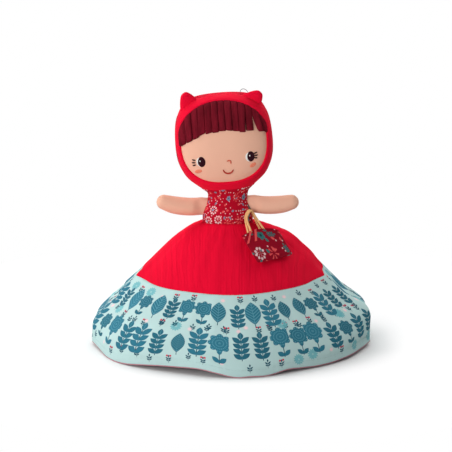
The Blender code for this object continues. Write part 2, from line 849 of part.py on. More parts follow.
def make_fringe(doll, shape, parent):
    """Hair fringe: strips of one cloth that hang from a header along the top of the face."""
    edge = smooth_through([(*share, 0.0) for share in FRINGE_EDGE_SHARES], 6)
    span = shape.face_half_width * FRINGE_SPAN_SHARE
    strip = 2 * span / doll.fringe_strips
    across = []
    for number in range(doll.fringe_strips):
        left = -span + strip * number
        across += [left + FRINGE_SLIT / 2, left + strip - FRINGE_SLIT / 2]
    rows = []
    down_shares = [0.0, FRINGE_HEADER_SHARE]
    down_shares += even_shares(FRINGE_HEADER_SHARE, 1.0, FRINGE_ROW_COUNT)[1:]
    for down in down_shares:
        row = []
        for x in across:
            out = x / shape.face_half_width
            top = shape.face_half_height * (1 - abs(out) ** FACE_POWER) ** (1 / FACE_POWER)
            top *= FRINGE_TOP_SHARE
            bottom = shape.face_half_height * look_up(edge, out, 0, 1)
            height = top + (min(bottom, top - strip) - top) * down
            row.append(shape.point(x, shape.centre.y + height, True))
        rows.append(row)
    return cloth_piece(
        f"{doll.prefix}_hair_fringe",
        Surface(rows, closed=False),
        lambda i, j: i == 0 or j % 2 == 0,
        FRINGE_LIFT + FRINGE_THICKNESS,
        FRINGE_LIFT,
        "burgundy" if doll is UPPER else "brown_velour",
        parent,
    )


def make_ear(shape, name, shares, parent):
    """A small stuffed ear, a rounded triangle in front view and a lens from above."""
    half = smooth_through(
        [(x * EAR_WIDTH, z * EAR_HEIGHT, 0.0) for x, z in EAR_OUTLINE_SHARES], 4
    )
    right = [along(half, share) for share in even_shares(0.0, 1.0, EAR_COLUMN_COUNT // 2)]
    outline = right + [Vector((-p.x, p.y, 0.0)) for p in reversed(right[1:])]
    across, up = shares
    doll = shape.doll
    foot = Vector((doll.head_half_width * across, 0.0, shape.seam + doll.head_height * up))
    lean = math.copysign(EAR_LEAN, across)
    place = Matrix.Translation(foot) @ Matrix.Rotation(lean, 4, "Y")
    rows = [[place @ Vector((0.0, -EAR_THICKNESS / 2, 0.0))]]
    for ring_share in EAR_RING_SHARES:
        turn = math.pi / 2 * ring_share
        wide, depth = math.sin(turn), -EAR_THICKNESS / 2 * math.cos(turn)
        rows.append([place @ Vector((p.x * wide, depth, p.y * wide)) for p in outline])
    rows.append([place @ Vector((0.0, EAR_THICKNESS / 2, 0.0))])
    return filled_piece(f"upper_ear_{name}", Surface(rows), 0.0, "red_jersey", parent)


def make_hang_loop(shape, parent):
    """A loop of thread that stands on the hood beside the right ear."""
    doll = shape.doll
    middle = doll.head_half_width * LOOP_SPAN_SHARE
    points = []
    for step in range(LOOP_POINT_COUNT):
        turn = math.pi * step / (LOOP_POINT_COUNT - 1)
        x = middle - math.cos(turn) * LOOP_SPAN / 2
        ground = look_up(shape.side[-len(shape.side) // 2 :], x, 0, 1)
        points.append(Vector((x, 0.0, ground + LOOP_THREAD + math.sin(turn) * LOOP_HEIGHT)))
    return tube("hood_hang_loop", points, LOOP_THREAD, "thread", parent)


# Basket


def skirt_frame(azimuth, radius):
    """Point, outward normal and downhill direction of the skirt, so far from the body's axis."""
    share = 0.0
    axis = Vector((-SKIRT_LEAN, 0.0))
    while (skirt_point(share, azimuth).to_2d() - axis).length < radius:
        share += SKIRT_STEP_SHARE
    point = skirt_point(share, azimuth)
    downhill = (skirt_point(share + SKIRT_STEP_SHARE, azimuth) - point).normalized()
    level = around(azimuth + math.pi / 2)
    return point, downhill.cross(level).normalized(), downhill


def make_basket():
    """Two printed panels, two cord handles and the knot that ties them to the bodice's side.

    The knot swivels about the skirt's normal. The basket lifts about the top of its handles' loops.
    """
    up = Vector((0.0, 0.0, 1.0))
    width, depth = body_half_axes(KNOT_RISE / neck_edge(UPPER))
    stitched = around(KNOT_AZIMUTH) * oval_radius(KNOT_AZIMUTH, width, depth)
    away = Vector((stitched.x / width**2, stitched.y / depth**2, 0.0)).normalized()
    knot_place = stitched + away * (KNOT_GAP + KNOT_RADIUS)
    knot_place += Vector((-SKIRT_LEAN, 0.0, WAIST_HEIGHT + KNOT_RISE))
    knot = add_empty("basket_swing_joint", knot_place)
    pivot = add_empty("basket_lift_joint", up * HANDLE_LOOP, parent=knot)
    ball("basket_knot", (KNOT_RADIUS, KNOT_RADIUS), "thread", knot, columns=10)

    point, normal, downhill = skirt_frame(BASKET_AZIMUTH, BASKET_RADIUS)
    if normal.z < 0:
        normal = -normal
    level = downhill.cross(normal)
    if level.x < 0:
        level = -level
    turn = Matrix.Rotation(BASKET_TURN, 3, normal)
    level, downhill = turn @ level, turn @ downhill
    centre = point + normal * (BASKET_REST_GAP + CLOTH + BASKET_BULGE + SEAM_GAP / 2)
    top_edge = centre - downhill * BASKET_HEIGHT / 2 - knot_place - up * HANDLE_LOOP

    def panel(name, side):
        rows = []
        for i in range(BASKET_ROW_COUNT + 1):
            down = i / BASKET_ROW_COUNT
            half = (BASKET_TOP_WIDTH + (BASKET_BOTTOM_WIDTH - BASKET_TOP_WIDTH) * down) / 2
            row = []
            for j in range(BASKET_COLUMN_COUNT + 1):
                across = 2 * j / BASKET_COLUMN_COUNT - 1
                bulge = BASKET_BULGE * (1 - across**2) * (1 - down**3)
                place = top_edge + downhill * BASKET_HEIGHT * down + level * half * across
                row.append(place + normal * side * (bulge + SEAM_GAP / 2))
            rows.append(row)
        surface = Surface(rows, closed=False, flip=side < 0)
        cloth_piece(name, surface, lambda i, j: True, CLOTH, 0.0, "dark_print", pivot)

    panel("basket_front", 1)
    panel("basket_back", -1)

    flat = up.cross(away)
    if flat.x < 0:
        flat = -flat
    apart = HANDLE_CORD + HANDLE_APART
    for name, side, out in (("basket_handle_back", -1, 0.0), ("basket_handle_front", 1, apart)):
        shift = away * out - up * HANDLE_LOOP
        mouth = top_edge + normal * side * (BASKET_BULGE + CLOTH / 2) - downhill * SEAM_GAP
        left = mouth - level * HANDLE_HALF_SPAN
        right = mouth + level * HANDLE_HALF_SPAN
        route = [
            left,
            left - downhill * HANDLE_CORD,
            shift + (-flat * HANDLE_SIDE_SHARES[0] - up * HANDLE_SIDE_SHARES[1]) * HANDLE_LOOP,
            shift + up * HANDLE_LOOP,
            shift + (flat * HANDLE_SIDE_SHARES[0] - up * HANDLE_SIDE_SHARES[1]) * HANDLE_LOOP,
            right - downhill * HANDLE_CORD,
            right,
        ]
        line = smooth_through(route, 8)
        points = [along(line, n / (HANDLE_POINT_COUNT - 1)) for n in range(HANDLE_POINT_COUNT)]
        tube(name, points, HANDLE_CORD, "cord", pivot)


def make_doll(doll, parent):
    """Bodice, arms and head of one doll. Its own up runs from the waist to its head."""
    bodice = make_bodice(doll, parent)
    cutters = [make_arm(doll, side, parent) for side in (-1, 1)]
    for cutter in cutters:
        cut_away(bodice, cutter)
    neck = make_head(doll, parent)
    socket = (BALL_RADIUS + BALL_GAP, BALL_RADIUS * BALL_DEPTH_SHARE + BALL_GAP)
    cutters.append(ball(f"{doll.prefix}_neck_cutter", socket, "skin", neck, columns=28))
    return cutters


def main():
    for left_over in list(bpy.data.objects):
        bpy.data.objects.remove(left_over)
    make_skirt()
    upper = add_empty("upper_doll", (-SKIRT_LEAN, 0.0, WAIST_HEIGHT))
    lower = add_empty("lower_doll", (-SKIRT_LEAN, 0.0, WAIST_HEIGHT - SKIRT_STACK), math.pi)
    cutters = make_doll(UPPER, upper) + make_doll(LOWER, lower)
    stuffing = make_body_stuffing(upper)
    for cutter in cutters:
        cut_away(stuffing, cutter)
    make_basket()


main()
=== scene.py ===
# %% [markdown]
# # A topsy turvy doll
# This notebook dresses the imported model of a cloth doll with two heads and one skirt. The doll in
# the red hood stands upright, and her twin in a bonnet hangs head down under the same skirt. The
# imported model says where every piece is, so nothing is measured again here: each finished piece is
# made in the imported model's own frame, in metres, with +Z up and the hooded doll facing -Y.

import json
import math

import bmesh
import bpy
import numpy as np
from mathutils import Matrix, Vector

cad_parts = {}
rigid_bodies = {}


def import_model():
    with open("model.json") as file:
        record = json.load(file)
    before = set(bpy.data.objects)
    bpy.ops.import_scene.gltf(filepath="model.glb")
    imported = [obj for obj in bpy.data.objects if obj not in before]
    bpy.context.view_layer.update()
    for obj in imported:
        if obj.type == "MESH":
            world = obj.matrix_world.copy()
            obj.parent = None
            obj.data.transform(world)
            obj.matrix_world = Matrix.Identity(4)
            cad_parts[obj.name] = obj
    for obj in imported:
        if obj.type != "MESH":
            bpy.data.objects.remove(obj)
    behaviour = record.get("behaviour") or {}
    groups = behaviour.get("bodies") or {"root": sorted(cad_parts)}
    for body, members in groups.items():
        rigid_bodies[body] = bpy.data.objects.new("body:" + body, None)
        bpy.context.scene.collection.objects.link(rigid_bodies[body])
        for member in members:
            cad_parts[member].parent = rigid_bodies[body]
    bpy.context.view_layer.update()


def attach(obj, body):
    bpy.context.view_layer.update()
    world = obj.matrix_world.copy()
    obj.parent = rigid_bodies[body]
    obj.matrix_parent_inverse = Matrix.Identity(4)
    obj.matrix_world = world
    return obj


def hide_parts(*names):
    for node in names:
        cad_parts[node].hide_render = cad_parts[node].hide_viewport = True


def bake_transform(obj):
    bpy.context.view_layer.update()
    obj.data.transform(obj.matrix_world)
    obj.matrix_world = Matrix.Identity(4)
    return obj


for left_over in list(bpy.data.objects):
    bpy.data.objects.remove(left_over)
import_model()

# %% [markdown]
# The camera stands where the photographer's did: straight in front, 15 degrees above level, far
# enough away for the skirt to look flat and calm. One pixel of the 452 pixel picture is 1.056 mm
# on the doll. A long lens at ten metres gives that, and the aim point puts the doll in its place.

# %% Camera
def in_scene(name, data):
    """A new object in the scene, at the origin."""
    made = bpy.data.objects.new(name, data)
    bpy.context.scene.collection.objects.link(made)
    return made


PICTURE_PIXELS = 452
PIXEL = 0.001056
CAMERA_HEIGHT_ANGLE = math.radians(15.0)
CAMERA_DISTANCE = 10.0
MIDDLE_PIXEL = (232.4, 340.0)

look = Vector((0.0, math.cos(CAMERA_HEIGHT_ANGLE), -math.sin(CAMERA_HEIGHT_ANGLE)))
aim = Vector(
    (
        (PICTURE_PIXELS / 2 - MIDDLE_PIXEL[0]) * PIXEL, 0.0,
        (MIDDLE_PIXEL[1] - PICTURE_PIXELS / 2) * PIXEL / math.cos(CAMERA_HEIGHT_ANGLE),
    )
)
camera = in_scene("camera", bpy.data.cameras.new("camera"))
camera.location = aim - look * CAMERA_DISTANCE
camera.rotation_euler = look.to_track_quat("-Z", "Y").to_euler()
camera.data.lens = camera.data.sensor_width * CAMERA_DISTANCE / (PICTURE_PIXELS * PIXEL)
camera.data.clip_start, camera.data.clip_end = 0.05, 40.0
bpy.context.scene.camera = camera
print("camera: lens", round(camera.data.lens, 1), "mm at", CAMERA_DISTANCE, "m")

# %% [markdown]
# Two small helpers carry most of the modelling. The first runs a smooth line through a few given points,
# and the second reads that line at any share of its length. With them an outline needs only the points
# that its shape has.


# %% Smooth lines
def smooth_line(points, steps=16):
    """A smooth (Catmull-Rom) line through the points, as rows of numbers."""
    ends = np.array([points[0], *points, points[-1]], float)
    t = np.linspace(0.0, 1.0, steps, endpoint=False)[:, None]
    line = [
        0.5 * (2 * b + (c - a) * t + (2 * a - 5 * b + 4 * c - d) * t**2 + (3 * b - a - 3 * c + d) * t**3)
        for a, b, c, d in zip(ends, ends[1:], ends[2:], ends[3:], strict=False)
    ]
    return np.vstack([*line, ends[-1:]])


def along(line, share):
    """The line's points at these shares of its length."""
    steps = np.linalg.norm(np.diff(line, axis=0), axis=1)
    length = np.concatenate([[0.0], np.cumsum(steps)])
    return np.stack([np.interp(np.asarray(share) * length[-1], length, axis) for axis in line.T], -1)


def around(angle):
    """Level direction at an angle from the front, turning towards +X."""
    return np.stack([np.sin(angle), -np.cos(angle), np.zeros_like(angle)], -1)


def full_turn(columns):
    """Angles of this many columns round a full turn."""
    return np.linspace(0, math.tau, columns + 1)[:-1]


def ease(t):
    """A smooth rise from 0 to 1."""
    t = np.clip(t, 0.0, 1.0)
    return t * t * (3 - 2 * t)


def ring_ripple(angle, waves, seed):
    """Soft uneven waves round a full turn, which meet where the turn closes."""
    total = np.zeros_like(angle, dtype=float)
    for n in range(3):
        phase = (seed * 2.399 + n * 1.7) % math.tau
        total += np.sin(round(waves * (1 + 0.31 * n)) * angle + phase) / (n + 1)
    return total / 3


# %% [markdown]
# Cloth has a thickness and rounded edges. `grid_mesh` joins a grid of points into faces and gives
# it a UV map in metres, so that a weave or a print keeps its real size wherever the cloth bends.
# `cloth_shell` lays a second grid under the first one and closes the edges between them.


# %% Cloth from grids of points
def outward(points):
    """Unit normals of a closed grid of points, turned away from its middle."""
    across = np.roll(points, -1, 1) - np.roll(points, 1, 1)
    normal = np.cross(np.gradient(points, axis=0), across)
    length = np.linalg.norm(normal, axis=2, keepdims=True)
    normal = normal / np.maximum(length, 1e-12)
    for row, other in ((0, 1), (-1, -2)):
        if length[row].max() < 1e-9:
            middle = normal[other].mean(0)
            normal[row] = middle / np.linalg.norm(middle)
    middle = points.reshape(-1, 3).mean(0)
    return normal if ((points - middle) * normal).sum() > 0 else -normal


def grid_mesh(name, points, uv, closed=True, looped=False, marks=None):
    """A mesh of the grid's cells. A closed grid's uv has one column more than its points have.

    In a looped grid the last row meets the first. Marks are numbers for each point, kept by name.
    """
    rows, columns = points.shape[:2]
    i = np.arange(rows if looped else rows - 1)[:, None]
    j = np.arange(columns if closed else columns - 1)[None, :]
    down, right = (i + 1) % rows, (j + 1) % columns
    corners = np.stack(
        [i * columns + j, down * columns + j, down * columns + right, i * columns + right], -1
    )
    faces = corners.reshape(-1, 4)
    spots = np.stack([uv[i, j], uv[down, j], uv[down, j + 1], uv[i, j + 1]], 2).reshape(-1, 2)
    mesh = bpy.data.meshes.new(name)
    mesh.from_pydata(points.reshape(-1, 3).tolist(), [], faces.tolist())
    mesh.uv_layers.new(name="cloth").data.foreach_set("uv", spots.astype(np.float32).ravel())
    for mark, values in (marks or {}).items():
        kept = mesh.attributes.new(mark, "FLOAT", "POINT")
        kept.data.foreach_set("value", values.astype(np.float32).ravel())
    return mesh


def finished(name, mesh, material=None):
    """Closes poles, points the faces outwards and puts the mesh in the scene as a smooth piece."""
    work = bmesh.new()
    work.from_mesh(mesh)
    bmesh.ops.remove_doubles(work, verts=work.verts, dist=2e-6)
    open_ends = [edge for edge in work.edges if edge.is_boundary]
    if open_ends:
        bmesh.ops.holes_fill(work, edges=open_ends)
    bmesh.ops.recalc_face_normals(work, faces=work.faces)
    work.to_mesh(mesh)
    work.free()
    mesh.shade_smooth()
    if material:
        mesh.materials.append(material)
    return in_scene(name, mesh)


def grid_piece(name, points, uv, material=None):
    """A grid of points as a finished piece."""
    return finished(name, grid_mesh(name, points, uv), material)


def cloth_shell(name, points, uv, thickness, material, closed=True, normal=None, marks=None):
    """A cloth whose outer face is the grid of points, with rounded first and last edges.

    A cloth that isn't closed needs its normals.
    """
    normal = outward(points) if normal is None else normal
    inner = points - normal * thickness
    edge = thickness * 0.3

    def rim(row, beside):
        push = points[row] - points[beside]
        push = push / np.maximum(np.linalg.norm(push, axis=1, keepdims=True), 1e-9)
        return ((points[row] + inner[row]) / 2 + push * edge)[None]

    ring = np.concatenate([rim(0, 1), points, rim(-1, -2), inner[::-1]])
    ring_uv = np.concatenate([uv[:1], uv, uv[-1:], uv[::-1]])
    outer_side = np.zeros(ring.shape[:2])
    outer_side[1 : 1 + len(points)] = 1.0
    kept = {"outer_side": outer_side}
    for mark, values in (marks or {}).items():
        kept[mark] = np.concatenate([values[:1], values, values[-1:], values[::-1]])
    mesh = grid_mesh(name, ring, ring_uv, closed, looped=True, marks=kept)
    return finished(name, mesh, material)


def placed(points, matrix):
    """The points carried by a matrix."""
    flat = np.array(matrix)
    return points @ flat[:3, :3].T + flat[:3, 3]


# %% [markdown]
# Materials are written with sums. A `Field` stands for a number in a node tree, so `x * 2 + y` adds
# the Math nodes that work it out. That keeps a print readable: a leaf is the formula of a leaf.


# %% Sums in node trees
def one_node(operation):
    """A method that adds one Math node."""
    return lambda field, other: field.math(operation, other)


class Field:
    """A number in a node tree."""

    def __init__(self, tree, socket):
        self.tree, self.socket = tree, socket

    def math(self, operation, *others, clamp=False):
        node = self.tree.nodes.new("ShaderNodeMath")
        node.operation, node.use_clamp = operation, clamp
        for socket, value in zip(node.inputs, (self, *others), strict=False):
            feed(self.tree, socket, value)
        return Field(self.tree, node.outputs[0])

    __add__ = __radd__ = one_node("ADD")
    __sub__ = one_node("SUBTRACT")
    __mul__ = __rmul__ = one_node("MULTIPLY")
    __truediv__ = one_node("DIVIDE")
    least, most = one_node("MINIMUM"), one_node("MAXIMUM")

    def __rsub__(self, other):
        return (self * -1.0).math("ADD", other)

    def inside(self, blur):
        """1 where this distance is below zero, 0 where it is above, soft over the blur."""
        return (self * (-1.0 / blur)).math("ADD", 0.5, clamp=True)


def feed(tree, socket, value):
    """Gives an input a link, from a field or a socket, or a plain number or colour."""
    if isinstance(value, Field):
        value = value.socket
    if isinstance(value, bpy.types.NodeSocket):
        tree.links.new(value, socket)
    else:
        socket.default_value = (*value, 1.0) if isinstance(value, tuple) else value


def add_node(tree, kind, links=(), **settings):
    """A new node with these settings. A link is an input's name or number and what feeds it."""
    made = tree.nodes.new(kind)
    for key, value in settings.items():
        if hasattr(made, key):
            setattr(made, key, value)
        else:
            made.inputs[key].default_value = value
    for key, value in links:
        feed(tree, made.inputs[key], value)
    return made


class Shades:
    """One material under construction: its tree, its Principled shader and short ways to add nodes."""

    def __init__(self, name, roughness, sheen=0.0, sheen_tint=(1.0, 1.0, 1.0), sheen_roughness=0.5):
        self.material = bpy.data.materials.new(name)
        self.material.use_nodes = True
        self.tree = self.material.node_tree
        self.shader = self.tree.nodes["Principled BSDF"]
        for key, value in (
            ("Roughness", roughness), ("Specular IOR Level", 0.06), ("Sheen Weight", sheen),
            ("Sheen Roughness", sheen_roughness), ("Sheen Tint", (*sheen_tint, 1.0)),
        ):
            self.shader.inputs[key].default_value = value

    def node(self, kind, links=(), **settings):
        return add_node(self.tree, kind, links, **settings)

    def uv(self):
        """Across and down the cloth, in metres."""
        spot = self.node("ShaderNodeUVMap", uv_map="cloth")
        parts = self.node("ShaderNodeSeparateXYZ", [(0, spot.outputs[0])])
        return Field(self.tree, parts.outputs[0]), Field(self.tree, parts.outputs[1])

    def mark(self, name):
        return Field(self.tree, self.node("ShaderNodeAttribute", attribute_name=name).outputs["Fac"])

    def spot(self, x, y, z=0.0):
        """A place made of two or three numbers."""
        return self.node("ShaderNodeCombineXYZ", [(0, x), (1, y), (2, z)]).outputs[0]

    def noise(self, place, scale, detail=2.0, roughness=0.5):
        made = self.node(
            "ShaderNodeTexNoise", [("Vector", place)], Scale=scale, Detail=detail, Roughness=roughness
        )
        return Field(self.tree, made.outputs["Fac"])

    def chance(self, place):
        """Three random numbers for each whole place."""
        made = self.node("ShaderNodeTexWhiteNoise", [("Vector", place)], noise_dimensions="3D")
        parts = self.node("ShaderNodeSeparateColor", [(0, made.outputs["Color"])])
        return [Field(self.tree, out) for out in parts.outputs]

    def mix(self, share, first, second):
        """A colour between two, each a colour or a socket."""
        links = [(0, share), (6, first), (7, second)]
        return self.node("ShaderNodeMix", links, data_type="RGBA").outputs[2]

    def colour(self, socket):
        self.tree.links.new(socket, self.shader.inputs["Base Color"])

    def bump(self, height, distance, strength=1.0):
        """Relief: the height field times a distance in metres."""
        made = self.node("ShaderNodeBump", [("Height", height)], Strength=strength, Distance=distance)
        self.tree.links.new(made.outputs[0], self.shader.inputs["Normal"])


# %% [markdown]
# ## Colours
# A colour is chosen as it looks on a screen, and the shader wants it as light. This conversion is
# the usual one for screens. Cloth is never one even colour, so `tinted` gives the darker and
# lighter forms of a colour that a material mixes.


# %% Colours
def screen(red, green, blue):
    """Light of a screen colour from 0 to 255."""
    return tuple(
        (v / 12.92 if v <= 0.04045 else ((v + 0.055) / 1.055) ** 2.4)
        for v in (red / 255, green / 255, blue / 255)
    )


def tinted(colour, share, lift=0.0):
    """A darker or lighter form of a colour."""
    return tuple(min(c * share + lift, 1.0) for c in colour)


RED = screen(224, 8, 47)
DEEP_RED = screen(184, 10, 38)
BASKET_RED = screen(148, 8, 34)
PEACH = screen(231, 178, 153)
BURGUNDY = screen(96, 14, 27)
MINT = screen(184, 213, 211)
TEAL = screen(45, 108, 128)
PALE_TEAL = screen(98, 160, 174)
DARK_TEAL = screen(28, 82, 100)
BERRY = screen(206, 66, 84)
BLUSH = screen(236, 206, 208)
DUSTY_PINK = screen(196, 134, 146)
CORAL = screen(226, 82, 84)
CORD_BEIGE = screen(240, 186, 128)
GREY_BLUE = screen(122, 134, 158)
LEAF_GREEN = screen(52, 116, 116)
THREAD_GREY = screen(120, 118, 124)
WALNUT = screen(92, 54, 38)
EYE_BROWN = screen(46, 12, 24)
BONNET_MINT = screen(142, 206, 198)
BURST_TEAL = screen(104, 178, 186)
DRESS_PINK = screen(206, 128, 142)
IVORY = screen(246, 232, 228)
print("hood red as light:", [round(c, 3) for c in RED])

# %% [markdown]
# ## Plain cloths
# Jersey is knitted, so close up it shows fine columns of loops. Velour has a pile whose shine
# changes with the way it was brushed. Plain cotton is threads over and under each other. All three
# are waves and noise on the piece's own UV map, so they keep their size and bend with the cloth.


# %% Jersey, velour and plain weave
def threads(way, spacing):
    """A wave across the cloth, one for each thread or column of loops."""
    return (way * (math.tau / spacing)).math("SINE")


JERSEY_LOOP, JERSEY_RELIEF = 0.0011, 0.00008


def jersey(name, colour, fuzz=0.16, vary=0.08):
    """Knitted cloth: columns of small loops, read from the UV map."""
    made = Shades(name, 0.95, fuzz, tinted(colour, 0.7, 0.15), 0.45)
    u, v = made.uv()
    place = made.spot(u, v)
    column = threads(u, JERSEY_LOOP)
    course = (v * (math.tau / JERSEY_LOOP * 1.3) + column * 1.2).math("SINE")
    broad = made.noise(place, 28.0, 3.0)
    fine = made.noise(place, 900.0, 2.0)
    dark, light = tinted(colour, 1 - vary), tinted(colour, 1 + vary, vary * 0.02)
    made.colour(made.mix(broad * 0.7 + fine * 0.3, dark, light))
    made.bump(column * 0.3 + course * 0.3 + fine * 0.8, JERSEY_RELIEF)
    return made.material


def velour(name, colour):
    """Brushed pile: soft streaks down the cloth, with a shine at its edges."""
    made = Shades(name, 0.9, 0.14, tinted(colour, 3.0, 0.01), 0.35)
    u, v = made.uv()
    streak = made.noise(made.spot(u * 3.0, v * 0.9), 320.0, 3.0, 0.6)
    patch = made.noise(made.spot(u * 2.4, v * 0.5), 95.0, 2.0)
    shade = (streak * 0.5 + patch * 1.3).math("SUBTRACT", 0.40, clamp=True)
    made.colour(made.mix(shade, tinted(colour, 0.42), tinted(colour, 2.0)))
    made.bump(streak + made.noise(made.spot(u, v), 1500.0, 1.0) * 0.5, 0.00012)
    return made.material


def plain_weave(name, colour, thread=0.0006, vary=0.08):
    """Cotton: threads over and under each other."""
    made = Shades(name, 0.92, 0.12, colour, 0.5)
    u, v = made.uv()
    broad = made.noise(made.spot(u, v), 40.0, 3.0)
    made.colour(made.mix(broad, tinted(colour, 1 - vary), tinted(colour, 1 + vary)))
    made.bump(threads(u, thread) * threads(v, thread), 0.00004)
    return made.material


hood_jersey = jersey("hood_red_jersey", RED)
peach_jersey = jersey("peach_skin_jersey", PEACH, fuzz=0.08, vary=0.05)
bonnet_jersey = jersey("bonnet_mint_jersey", BONNET_MINT)
hair_velour = velour("burgundy_hair_velour", BURGUNDY)
lower_hair_velour = velour("walnut_hair_velour", WALNUT)
lining_cotton = plain_weave("dusty_pink_lining", DUSTY_PINK)
print("plain cloths: 6")

# %% [markdown]
# ## The skirt
# Two cloths hang from the waist: crinkled red gauze with a wide printed border below it, and a
# lining. Their shape follows one rule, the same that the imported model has: a side view from waist
# to hem, turned round the body, with waves at the hem, sharp folds at the sides and a puff behind
# the right side. So the skirt is worked out from that rule, at a finer step than in the model.

# %% Sizes of the skirt
WAIST_HEIGHT = 0.129
HEM_RADIUS = 0.150
HEM_BAND = 0.008
WAVE_DEPTH = 0.0040
WAVE_LIFT = 0.0026
WAVE_COUNT = 6
WAVE_PHASE = math.radians(5.0)
RIDGE_DEPTH = 0.0065
RIDGE_HALF_ANGLE = math.radians(15.0)
SIDE_SEAM_ANGLE = math.radians(82.5)
SKIRT_LEAN = 0.0050
HEM_SHIFT = 0.0013
BORDER_START_SHARE = 0.49
RIDGE_START_SHARE = 0.33
PUFF_DEPTH = 0.0180
PUFF_AZIMUTH = math.radians(116.0)
PUFF_HALF_ANGLE = math.radians(46.0)
PUFF_FULL_SHARE = 0.25
FLOOR_CUT = 0.0005
CLOTH = 0.0010
LINING_GAP = 0.0004
SKIRT_STACK = 2 * CLOTH + LINING_GAP
WAIST_HALF_WIDTH, WAIST_HALF_DEPTH = 0.0265, 0.0205
NECK_HALF_WIDTH, NECK_HALF_DEPTH = 0.0208, 0.0156
WAIST_INSET = 0.0004
SKIRT_SIDE = smooth_line(
    (
        (0.0, 1.0), (0.07, 0.985), (0.16, 0.935), (0.31, 0.822), (0.56, 0.585), (0.82, 0.350),
        (0.94, 0.205), (0.99, 0.090), (1.0, 0.0),
    )
)
print("hem:", round(math.tau * HEM_RADIUS * 1000), "mm round")

# %% [markdown]
# A cloth that has just been set down is never even. The dents, the bulges and the rises of the hem
# follow no rule, so they are kept as short tables.

# %% How this skirt happens to lie
# Soft bulges and dents: middle in degrees from the front, half reach, share down, half reach, depth
SKIRT_DENTS = (
    (92.0, 42.0, 0.79, 0.13, 0.0095), (68.0, 34.0, 0.98, 0.10, -0.0050),
    (95.0, 42.0, 0.12, 0.11, -0.0042), (90.0, 30.0, 0.36, 0.09, 0.0030),
    (-92.0, 40.0, 0.69, 0.07, -0.0040), (-92.0, 40.0, 0.86, 0.09, 0.0030),
)
# How far the hem is off the floor round the skirt: degrees from the front, metres
HEM_RISES = smooth_line(
    (
        (-180, 0.0006), (-120, 0.0004), (-90, 0.0012), (-75, 0.0010), (-52, 0.0012),
        (-38, 0.0032), (-24, 0.0044), (-14, 0.0060), (-6, 0.0042), (2, 0.0010), (8, 0.0018),
        (15, 0.0008), (24, 0.0030), (31, 0.0014), (38, 0.0002), (46, 0.0008), (55, 0.0032),
        (65, 0.0046), (78, 0.0036), (96, 0.0018), (120, 0.0003), (180, 0.0006),
    ),
    8,
)
HEM_RISE_START_SHARE = 0.66
print("hem rises by up to", round(HEM_RISES[:, 1].max() * 1000, 1), "mm")

# %% [markdown]
# Every point of the skirt has a share of the way down and an angle from the front. The side view
# gives its radius and height. Waves, side folds, the puff and the dents are added to them.


# %% The skirt's rule
def hump(value, middle, half):
    """A smooth hump, 1 at its middle and 0 from its half reach on."""
    return np.cos(np.clip(np.abs(value - middle) / half, 0, 1) * math.pi / 2) ** 2


def oval_radius(angle, half_width, half_depth):
    """Radius of an oval with these half axes, at an angle from the front."""
    return 1 / np.hypot(np.sin(angle) / half_width, np.cos(angle) / half_depth)


def skirt_surface(share, angle):
    """Points of the skirt's outer face at shares of the way down and angles from the front."""
    side = along(SKIRT_SIDE, share)
    out, up = side[..., 0], side[..., 1]
    start = oval_radius(angle, WAIST_HALF_WIDTH - WAIST_INSET, WAIST_HALF_DEPTH - WAIST_INSET)
    wave = np.cos(WAVE_COUNT * (angle - WAVE_PHASE)) * share**2
    nearest = np.minimum(np.abs(np.abs(angle) - SIDE_SEAM_ANGLE), RIDGE_HALF_ANGLE)
    ramp = np.clip((share - RIDGE_START_SHARE) / (BORDER_START_SHARE - RIDGE_START_SHARE), 0, 1)
    ridge = (1 - nearest / RIDGE_HALF_ANGLE) ** 1.5 * ramp
    away = np.clip(np.abs(angle - PUFF_AZIMUTH) / PUFF_HALF_ANGLE, 0.0, 1.0)
    puff = np.cos(away * math.pi / 2) ** 2 * ease(share / PUFF_FULL_SHARE)
    puff = puff * (1 - share) ** 0.7
    radius = start + out * (HEM_RADIUS - WAVE_DEPTH - start) + WAVE_DEPTH * wave
    radius = radius + RIDGE_DEPTH * ridge + PUFF_DEPTH * puff
    degrees = np.degrees(angle)
    for middle, half, middle_share, half_share, depth in SKIRT_DENTS:
        radius = radius + depth * hump(degrees, middle, half) * hump(share, middle_share, half_share)
    lift = WAVE_LIFT * (share**3 - wave * share) / 2 - FLOOR_CUT * share**3
    near_floor = ease((share - HEM_RISE_START_SHARE) / (1 - HEM_RISE_START_SHARE)) ** 1.5
    lift = lift + np.interp(degrees, *HEM_RISES.T) * near_floor
    points = around(angle) * radius[..., None]
    points[..., 0] += -SKIRT_LEAN * up - HEM_SHIFT * (1 - up)
    points[..., 2] = up * WAIST_HEIGHT + lift
    return points


SKIRT_SLANT = np.linalg.norm(np.diff(SKIRT_SIDE, axis=0), axis=1).sum() * (HEM_RADIUS + WAIST_HEIGHT) / 2
SKIRT_COLUMNS = 576
skirt_angles = np.linspace(-math.pi, math.pi, SKIRT_COLUMNS + 1)


def skirt_grid(first, last, rows):
    """Points, normals, UV, shares and angles of the skirt between two shares of the way down."""
    shares = np.linspace(first, last, rows)
    share, angle = np.meshgrid(shares, skirt_angles, indexing="ij")
    points = skirt_surface(share, angle)[:, :-1]
    normal = outward(points)
    uv = np.stack([angle, share * SKIRT_SLANT], -1)
    return points, normal, uv, share[:, :-1], angle[:, :-1]


print("skirt: slant", round(SKIRT_SLANT * 1000, 1), "mm")

# %% [markdown]
# ## Red gauze
# Double gauze is woven with tight threads that shrink when it is washed, so it puckers into soft
# upright folds, about 8 mm apart, which show in some places and fade in others. They run with the
# weave, straight down the front panel, and not round the doll. A rule that follows a surface suits
# Geometry Nodes: the tree moves each outer point along its normal by a wave of how far across the
# cloth it lies. Every tree of this notebook ends in the same two nodes, so helpers open and close it.


